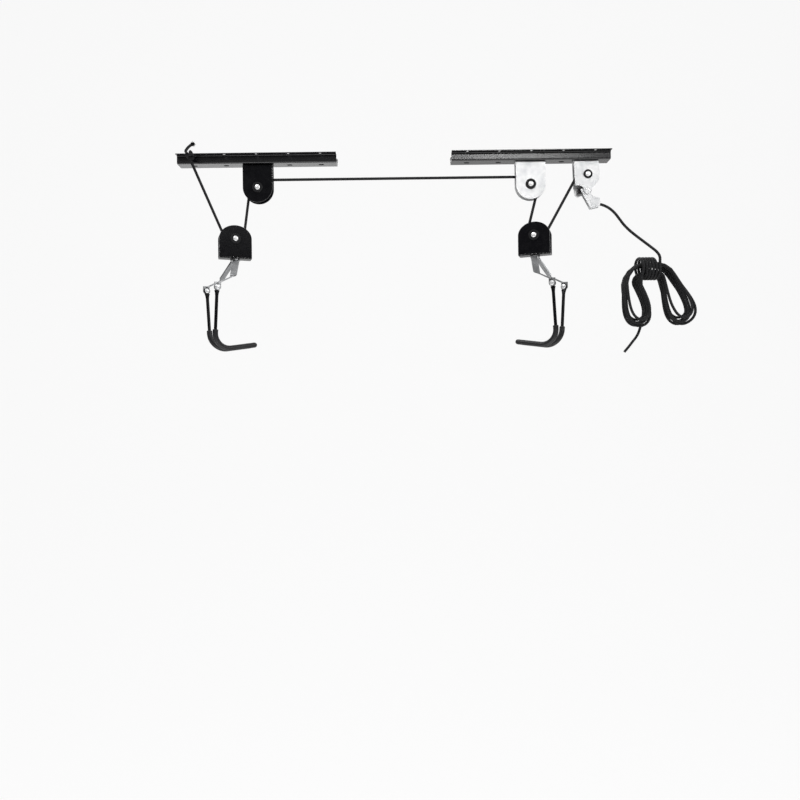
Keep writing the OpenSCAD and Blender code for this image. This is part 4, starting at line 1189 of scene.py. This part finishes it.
# The rope: each stretch is a braided tube swept along its line by geometry nodes
def braidedTube():
    tree, start, stop = newTree("braidedTube", [
        ("Radius", "NodeSocketFloat"), ("Ring Step", "NodeSocketFloat"), ("Sides", "NodeSocketInt"),
        ("Braid Depth", "NodeSocketFloat"), ("Plaits", "NodeSocketFloat"),
        ("Plait Length", "NodeSocketFloat"), ("Start Length", "NodeSocketFloat"),
        ("Material", "NodeSocketMaterial")])
    link = tree.links.new
    line = socketNode(tree, "GeometryNodeMeshToCurve")
    link(start.outputs["Geometry"], line.inputs["Mesh"])
    even = socketNode(tree, "GeometryNodeResampleCurve", mode="LENGTH")
    link(line.outputs["Curve"], even.inputs["Curve"])
    link(start.outputs["Ring Step"], even.inputs["Length"])
    along = socketNode(tree, "GeometryNodeCaptureAttribute")
    along.capture_items.new("FLOAT", "Along")
    link(even.outputs["Curve"], along.inputs["Geometry"])
    link(socketNode(tree, "GeometryNodeSplineParameter").outputs["Length"], along.inputs["Along"])
    ring = socketNode(tree, "GeometryNodeCurvePrimitiveCircle")
    link(start.outputs["Sides"], ring.inputs["Resolution"])
    link(start.outputs["Radius"], ring.inputs["Radius"])
    around = socketNode(tree, "GeometryNodeCaptureAttribute")
    around.capture_items.new("FLOAT", "Around")
    link(ring.outputs["Curve"], around.inputs["Geometry"])
    link(socketNode(tree, "GeometryNodeSplineParameter").outputs["Factor"], around.inputs["Around"])
    tube = socketNode(tree, "GeometryNodeCurveToMesh")
    tube.inputs["Fill Caps"].default_value = True
    link(along.outputs["Geometry"], tube.inputs["Curve"])
    link(around.outputs["Geometry"], tube.inputs["Profile Curve"])
    length = maths(tree, "ADD", along.outputs["Along"], start.outputs["Start Length"])
    angle = maths(tree, "MULTIPLY", around.outputs["Around"], 2 * math.pi)
    turns = maths(tree, "MULTIPLY", length, 2 * math.pi)
    waves = maths(tree, "DIVIDE", turns, start.outputs["Plait Length"])
    plaits = maths(tree, "MULTIPLY", maths(tree, "MULTIPLY", angle, 2), start.outputs["Plaits"])
    height = maths(tree, "ADD", maths(tree, "COSINE", plaits), maths(tree, "COSINE", waves))
    rise = maths(tree, "MULTIPLY", maths(tree, "MULTIPLY", height, 0.5), start.outputs["Braid Depth"])
    push = socketNode(tree, "ShaderNodeVectorMath", operation="SCALE")
    link(socketNode(tree, "GeometryNodeInputNormal").outputs[0], push.inputs[0])
    link(rise, push.inputs["Scale"])
    plaited = socketNode(tree, "GeometryNodeSetPosition")
    link(tube.outputs["Mesh"], plaited.inputs["Geometry"])
    link(push.outputs[0], plaited.inputs["Offset"])
    lay = socketNode(tree, "ShaderNodeCombineXYZ")
    link(length, lay.inputs["X"])
    link(maths(tree, "COSINE", angle), lay.inputs["Y"])
    link(maths(tree, "SINE", angle), lay.inputs["Z"])
    keep = socketNode(tree, "GeometryNodeStoreNamedAttribute", data_type="FLOAT_VECTOR", domain="POINT")
    keep.inputs["Name"].default_value = "ropeLay"
    link(plaited.outputs["Geometry"], keep.inputs["Geometry"])
    link(lay.outputs[0], keep.inputs["Value"])
    real = socketNode(tree, "GeometryNodeRealizeInstances")
    paint = socketNode(tree, "GeometryNodeSetMaterial")
    link(keep.outputs["Geometry"], real.inputs["Geometry"])
    link(real.outputs["Geometry"], paint.inputs["Geometry"])
    link(start.outputs["Material"], paint.inputs["Material"])
    link(paint.outputs["Geometry"], stop.inputs["Geometry"])
    return tree


ropeTree = braidedTube()
ropeRun = {"length": 0.0}


def lengthOf(points):
    return sum((b - a).length for a, b in zip(points, points[1:]))


def ropeStretch(name, points, radiusShare=1.0):
    s = ropeSizes
    points = [Vector(p) * mm for p in points]
    mesh = bpy.data.meshes.new(name)
    mesh.from_pydata(points, [(i, i + 1) for i in range(len(points) - 1)], [])
    obj = linkObject(name, mesh)
    applyTree(obj, ropeTree, {
        "Radius": s["diameter"] / 2 * mm * radiusShare, "Ring Step": s["ringStep"] * mm,
        "Sides": s["sides"], "Braid Depth": s["braidDepth"] * mm, "Plaits": float(s["plaits"]),
        "Plait Length": s["plaitLength"] * mm, "Start Length": ropeRun["length"],
        "Material": looks["rope"],
    })
    ropeRun["length"] += lengthOf(points)
    obj.data.shade_smooth()
    return obj, points


pitch = turnedSizes["pitch"]


def onSheave(at, turn, angle, radius=pitch):
    a, b = math.radians(angle), math.radians(turn)
    return (at[0] + radius * math.cos(a) * math.cos(b), radius * math.cos(a) * math.sin(b),
            at[1] + radius * math.sin(a))


def touch(at, turn, point, side):
    b = math.radians(turn)
    u = (point[0] - at[0]) * math.cos(b) + point[1] * math.sin(b)
    w = point[2] - at[1]
    return math.degrees(math.atan2(w, u)) + side * math.degrees(math.acos(pitch / math.hypot(u, w)))


def arcPoints(at, turn, start, stop, radius=pitch):
    n = math.ceil(abs(stop - start) / ropeSizes["arcStep"])
    return [onSheave(at, turn, start + (stop - start) * i / n, radius) for i in range(n + 1)]


def halfway(a, b):
    return ((a[0] + b[0]) / 2, 0, (a[1] + b[1]) / 2)


def smoothed(points, steps):
    # A smooth curve through the points
    out = []
    last = len(points) - 1
    for i in range(last):
        a, b, c, d = (Vector(points[max(0, min(last, j))]) for j in (i - 1, i, i + 1, i + 2))
        for k in range(steps):
            t = k / steps
            out.append((2 * b + (c - a) * t + (2 * a - 5 * b + 4 * c - d) * t * t
                        + (3 * b - a - 3 * c + d) * t ** 3) / 2)
    return out + [Vector(points[-1])]


knotSizes = {"x": -120, "y": -32.1, "anchorZ": -13.25, "coil": 5.3, "pitch": 5.5, "turns": 1.5,
             "coilTop": -2.8, "endLong": 44, "hole": -19, "under": -4.3, "ringSteps": 14, "tight": 0.93,
             "end": ((-0.1, -0.25, -0.07), (0.02, -0.5, -0.07), (0.2, -0.78, -0.065), (0.38, -1, -0.06))}
fraySizes = {"fibres": 70, "length": 8, "thick": 0.6, "taper": 0.6, "spread": 0.22, "core": 2, "seed": 4,
             "turn": 2.4, "droop": 0.35, "droops": (0.1, 0.9), "lengths": (0.6, 1),
             "stations": (0, 0.35, 0.7, 1)}


def frayedEnd(tip, way):
    # A tuft of loose yarns where the rope's end has opened
    s = fraySizes
    pick = random.Random(s["seed"])
    side = way.orthogonal().normalized()
    fibres = []
    for i in range(s["fibres"]):
        turn = Matrix.Rotation(s["turn"] * i, 3, way)
        share = math.sqrt((i + 0.5) / s["fibres"])
        out = turn @ side
        droop = Vector((0, 0, -1)) * pick.uniform(*s["droops"])
        long = s["length"] * pick.uniform(*s["lengths"])
        rings = []
        for t in s["stations"]:
            centre = tip - way + out * share * s["core"] + (
                way * t + out * share * s["spread"] * (t + t * t) + droop * s["droop"] * t * t) * long
            thick = s["thick"] * (1 - s["taper"] * t)
            rings.append([centre + (side * math.cos(a) + way.cross(side) * math.sin(a)) * thick
                          for a in (0, math.pi / 2, math.pi, 3 * math.pi / 2)])
        fibres.append(loft("fibre", rings))
    return joined("fray", fibres)


def makeRopes():
    k = knotSizes
    anchor = (k["x"], k["y"], k["anchorZ"])
    yaw = blockYaw
    angles = {
        "rearIn": touch(rearBlock, yaw["rear"], anchor, 1),
        "rearOut": touch(rearBlock, yaw["rear"], halfway(rearBlock, rearAxle), -1),
        "rearUp": touch(rearAxle, 0, halfway(rearBlock, rearAxle), -1),
        "frontDown": touch(frontAxle, 0, halfway(frontBlock, frontAxle), 1),
        "frontIn": touch(frontBlock, yaw["front"], halfway(frontBlock, frontAxle), 1),
        "frontOut": touch(frontBlock, yaw["front"], halfway(frontBlock, lockAxle), -1),
        "lockUp": touch(lockAxle, 0, halfway(frontBlock, lockAxle), -1),
    }
    share = pitch / (pitch + leverSizes["saddleRadius"])
    cross = (lockAxle[0] + (saddle[0] - lockAxle[0]) * share, 0,
             lockAxle[1] + (saddle[1] - lockAxle[1]) * share)
    lockDown = touch(lockAxle, 0, cross, 1)
    u, w = cross[0] - saddle[0], cross[2] - saddle[1]
    saddleIn = math.degrees(math.atan2(w, u)) + math.degrees(
        math.acos(leverSizes["saddleRadius"] / math.hypot(u, w)))
    x, y, hole, under, n = k["x"], k["y"], k["hole"], k["under"], k["ringSteps"]
    knot = [anchor, (x, y, -6), (x, y, -2), (x, y + 1.5, 1.2), (x, y + 5, 2.2), (x, hole - 3, 2.0),
            (x, hole, 0), (x, hole, -3), (x, hole - 3, under - 0.6), (x + 2, y + 6, under - 1.5)]
    coil = []
    for i in range(int(k["turns"] * n) + 1):
        a = 2 * math.pi * i / n
        coil.append((x + k["coil"] * math.cos(a), y + k["coil"] * math.sin(a),
                     k["coilTop"] - k["turns"] * k["pitch"] + i * k["pitch"] / n))
    tail = [(x + u * k["endLong"], y + v * k["endLong"], w * k["endLong"]) for u, v, w in k["end"]]
    upper, _ = ropeStretch("knotLoop", smoothed(knot, 6), k["tight"])
    lower, _ = ropeStretch("knotCoil", smoothed(coil + tail, 4))
    fray = frayedEnd(Vector(tail[-1]), (Vector(tail[-1]) - Vector(tail[-2])).normalized())
    knotObject = joined("anchorKnot", [upper, lower, fray])
    knotObject.data.materials.append(looks["rope"])
    knotObject.data.shade_smooth()
    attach(knotObject, "hoist_frame")
    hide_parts("anchor_knot")

    a = angles
    legs = [
        ("anchorLeg", "anchor_leg", [anchor, onSheave(rearBlock, yaw["rear"], a["rearIn"])], "rear_block"),
        ("rearBlockRope", "rear_block_rope",
         arcPoints(rearBlock, yaw["rear"], a["rearIn"], a["rearOut"] + 360), None),
        ("rearLiftLeg", "rear_lift_leg",
         [onSheave(rearBlock, yaw["rear"], a["rearOut"]), onSheave(rearAxle, 0, a["rearUp"])], "rear_block"),
        ("crossRope", "cross_rope",
         arcPoints(rearAxle, 0, a["rearUp"], 90) + arcPoints(frontAxle, 0, 90, a["frontDown"]), None),
        ("frontLiftLeg", "front_lift_leg",
         [onSheave(frontAxle, 0, a["frontDown"]), onSheave(frontBlock, yaw["front"], a["frontIn"])],
         "front_block"),
        ("frontBlockRope", "front_block_rope",
         arcPoints(frontBlock, yaw["front"], a["frontIn"], a["frontOut"] + 360), None),
        ("lockLeg", "lock_leg",
         [onSheave(frontBlock, yaw["front"], a["frontOut"]), onSheave(lockAxle, 0, a["lockUp"])],
         "front_block"),
    ]
    for name, node, points, block in legs:
        obj, line = ropeStretch(name, points)
        if block:
            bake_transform(obj)
        else:
            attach(obj, bodyOf[node])
        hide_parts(node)

    lock = arcPoints(lockAxle, 0, a["lockUp"] + (360 if a["lockUp"] < 0 else 0), lockDown)
    lock += arcPoints(saddle, 0, saddleIn + (360 if saddleIn < 0 else 0), leverSizes["end"],
                      leverSizes["saddleRadius"])
    lock.append((ropeExit[0], 0, ropeExit[1]))
    obj, _ = ropeStretch("lockRope", lock)
    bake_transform(obj)
    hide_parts("lock_rope")


# Tail and hank, the free part of the rope
hankSizes = {
    "tail": [(660, 0, -102), (668, 0, -107), (676, -1, -115), (684, -2, -126), (692, -4, -138),
             (702, -7, -150), (714, -11, -162), (727, -17, -175), (738, -22, -186), (746, -26, -195),
             (750, -29, -204)],
    "waist": (738, -3, -222), "waistHalf": 8, "arch": 27, "halfLength": 134,
    "loops": 6, "step": 6, "wraps": 5, "wrapY": 27, "wrapZ": 19, "wrapLean": 3, "wrapShift": -3,
    "climbFrom": 215, "climbOver": 110, "joinAt": 300, "leaveAt": 330, "open": 1.3,
    # one value for each loop
    "gaps": (6.5, 7.5, 8.5, 8, 7, 6),
    "halves": (20, 22, 25, 24, 21, 20),
    "shares": (0.92, 0.96, 1, 0.98, 0.94, 0.9),
    "leftTurns": (106, 101, 104, 99, 103, 107),
    "rightTurns": (67, 72, 69, 74, 71, 66),
    "flares": (0, 0, 9, 0, 0, 0),
    "end": [(723, 11, -340), (709, 11, -361), (695, 11, -378)],
    "wrapRings": 16, "loopRings": 24, "finer": 3,
    # steps of the smooth curves, and how far round or back they take their direction
    "tailSteps": 4, "turnSteps": 3, "turnTo": 22.5, "joinSteps": 6, "joinBack": 8, "endSteps": 5,
    "endBack": 6,
    # two places on the tail, one by the lever's mouth and one further down
    "follows": (652, 0, -99), "stays": (684, -2, -126),
}


def hankValue(name, u):
    values = hankSizes[name]
    i = math.floor(u)
    return values[i % len(values)] * (1 - u + i) + values[(i + 1) % len(values)] * (u - i)


def loopPoint(k, degrees):
    h = hankSizes
    a = math.radians(degrees)
    u = k + max(0, min(1, (degrees - h["climbFrom"]) / h["climbOver"]))
    way = 1 if math.cos(a) < 0 else -1
    along = abs(math.cos(a)) * h["halfLength"] * hankValue("shares", u)
    turn = math.radians(hankValue("rightTurns" if way > 0 else "leftTurns", u))
    bend = max(0, min(turn, (along - h["waistHalf"]) / h["arch"]))
    rest = max(0, along - h["waistHalf"] - h["arch"] * turn)
    x = min(along, h["waistHalf"]) + h["arch"] * math.sin(bend) + rest * math.cos(turn)
    z = -h["arch"] * (1 - math.cos(bend)) - rest * math.sin(turn)
    gap = hankValue("gaps", u)
    flare = hankValue("flares", u) if way > 0 and degrees < 180 else 0
    width = gap * abs(math.sin(a)) + ((hankValue("halves", u) - gap) * h["open"] + flare) * abs(
        math.sin(2 * a) * math.cos(a))
    width = width if degrees < 180 else -width
    return Vector(h["waist"]) + Vector((
        way * (x + width * math.sin(bend)), (u - h["loops"] / 2) * h["step"], z + width * math.cos(bend)))


def wrapPoint(degrees):
    h = hankSizes
    a = math.radians(degrees)
    return Vector(h["waist"]) + Vector((
        h["wrapShift"] + (h["wraps"] / 2 - degrees / 360) * h["step"] + h["wrapLean"] * math.sin(a),
        -h["wrapY"] * math.cos(a), -h["wrapZ"] * math.sin(a)))


def makeHank():
    h = hankSizes
    d = ropeSizes["diameter"]
    mouth = Vector((ropeExit[0], 0, ropeExit[1]))
    way = math.radians(leverSizes["end"] + 90)
    first = mouth + Vector((math.cos(way), 0, math.sin(way))) * d
    start = wrapPoint(0) + Vector((0, 0, d))
    above = start + Vector((0, 0, d))
    points = [mouth] + smoothed([first] + h["tail"] + [above], h["tailSteps"])[:-1]
    turnIn = smoothed([points[-1], above, start, wrapPoint(0), wrapPoint(h["turnTo"])], h["turnSteps"])
    points += turnIn[h["turnSteps"]:-h["turnSteps"]]
    n = h["wraps"] * h["wrapRings"] * h["finer"]
    wraps = [wrapPoint(360 * h["wraps"] * i / n) for i in range(n + 1)]
    rings = h["loopRings"] * h["finer"]
    loops = []
    for k in range(-1, h["loops"]):
        for i in range(rings):
            a = 360 * i / rings
            if (k >= 0 or a >= h["joinAt"]) and (k < h["loops"] - 1 or a <= h["leaveAt"]):
                loops.append(loopPoint(k, a))
    back, steps = h["joinBack"], h["joinSteps"]
    joining = smoothed([wraps[-back], wraps[-1], loops[0], loops[back]], steps)[steps + 1:2 * steps]
    ending = smoothed([loops[-h["endBack"]], loops[-1]] + h["end"], h["endSteps"])[h["endSteps"] + 1:]
    points += wraps[1:] + joining + loops + ending
    obj, line = ropeStretch("tailAndHank", points)
    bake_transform(obj)
    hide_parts("rope_tail", "rope_hank")


makeRopes()
makeHank()
print("rope ready")
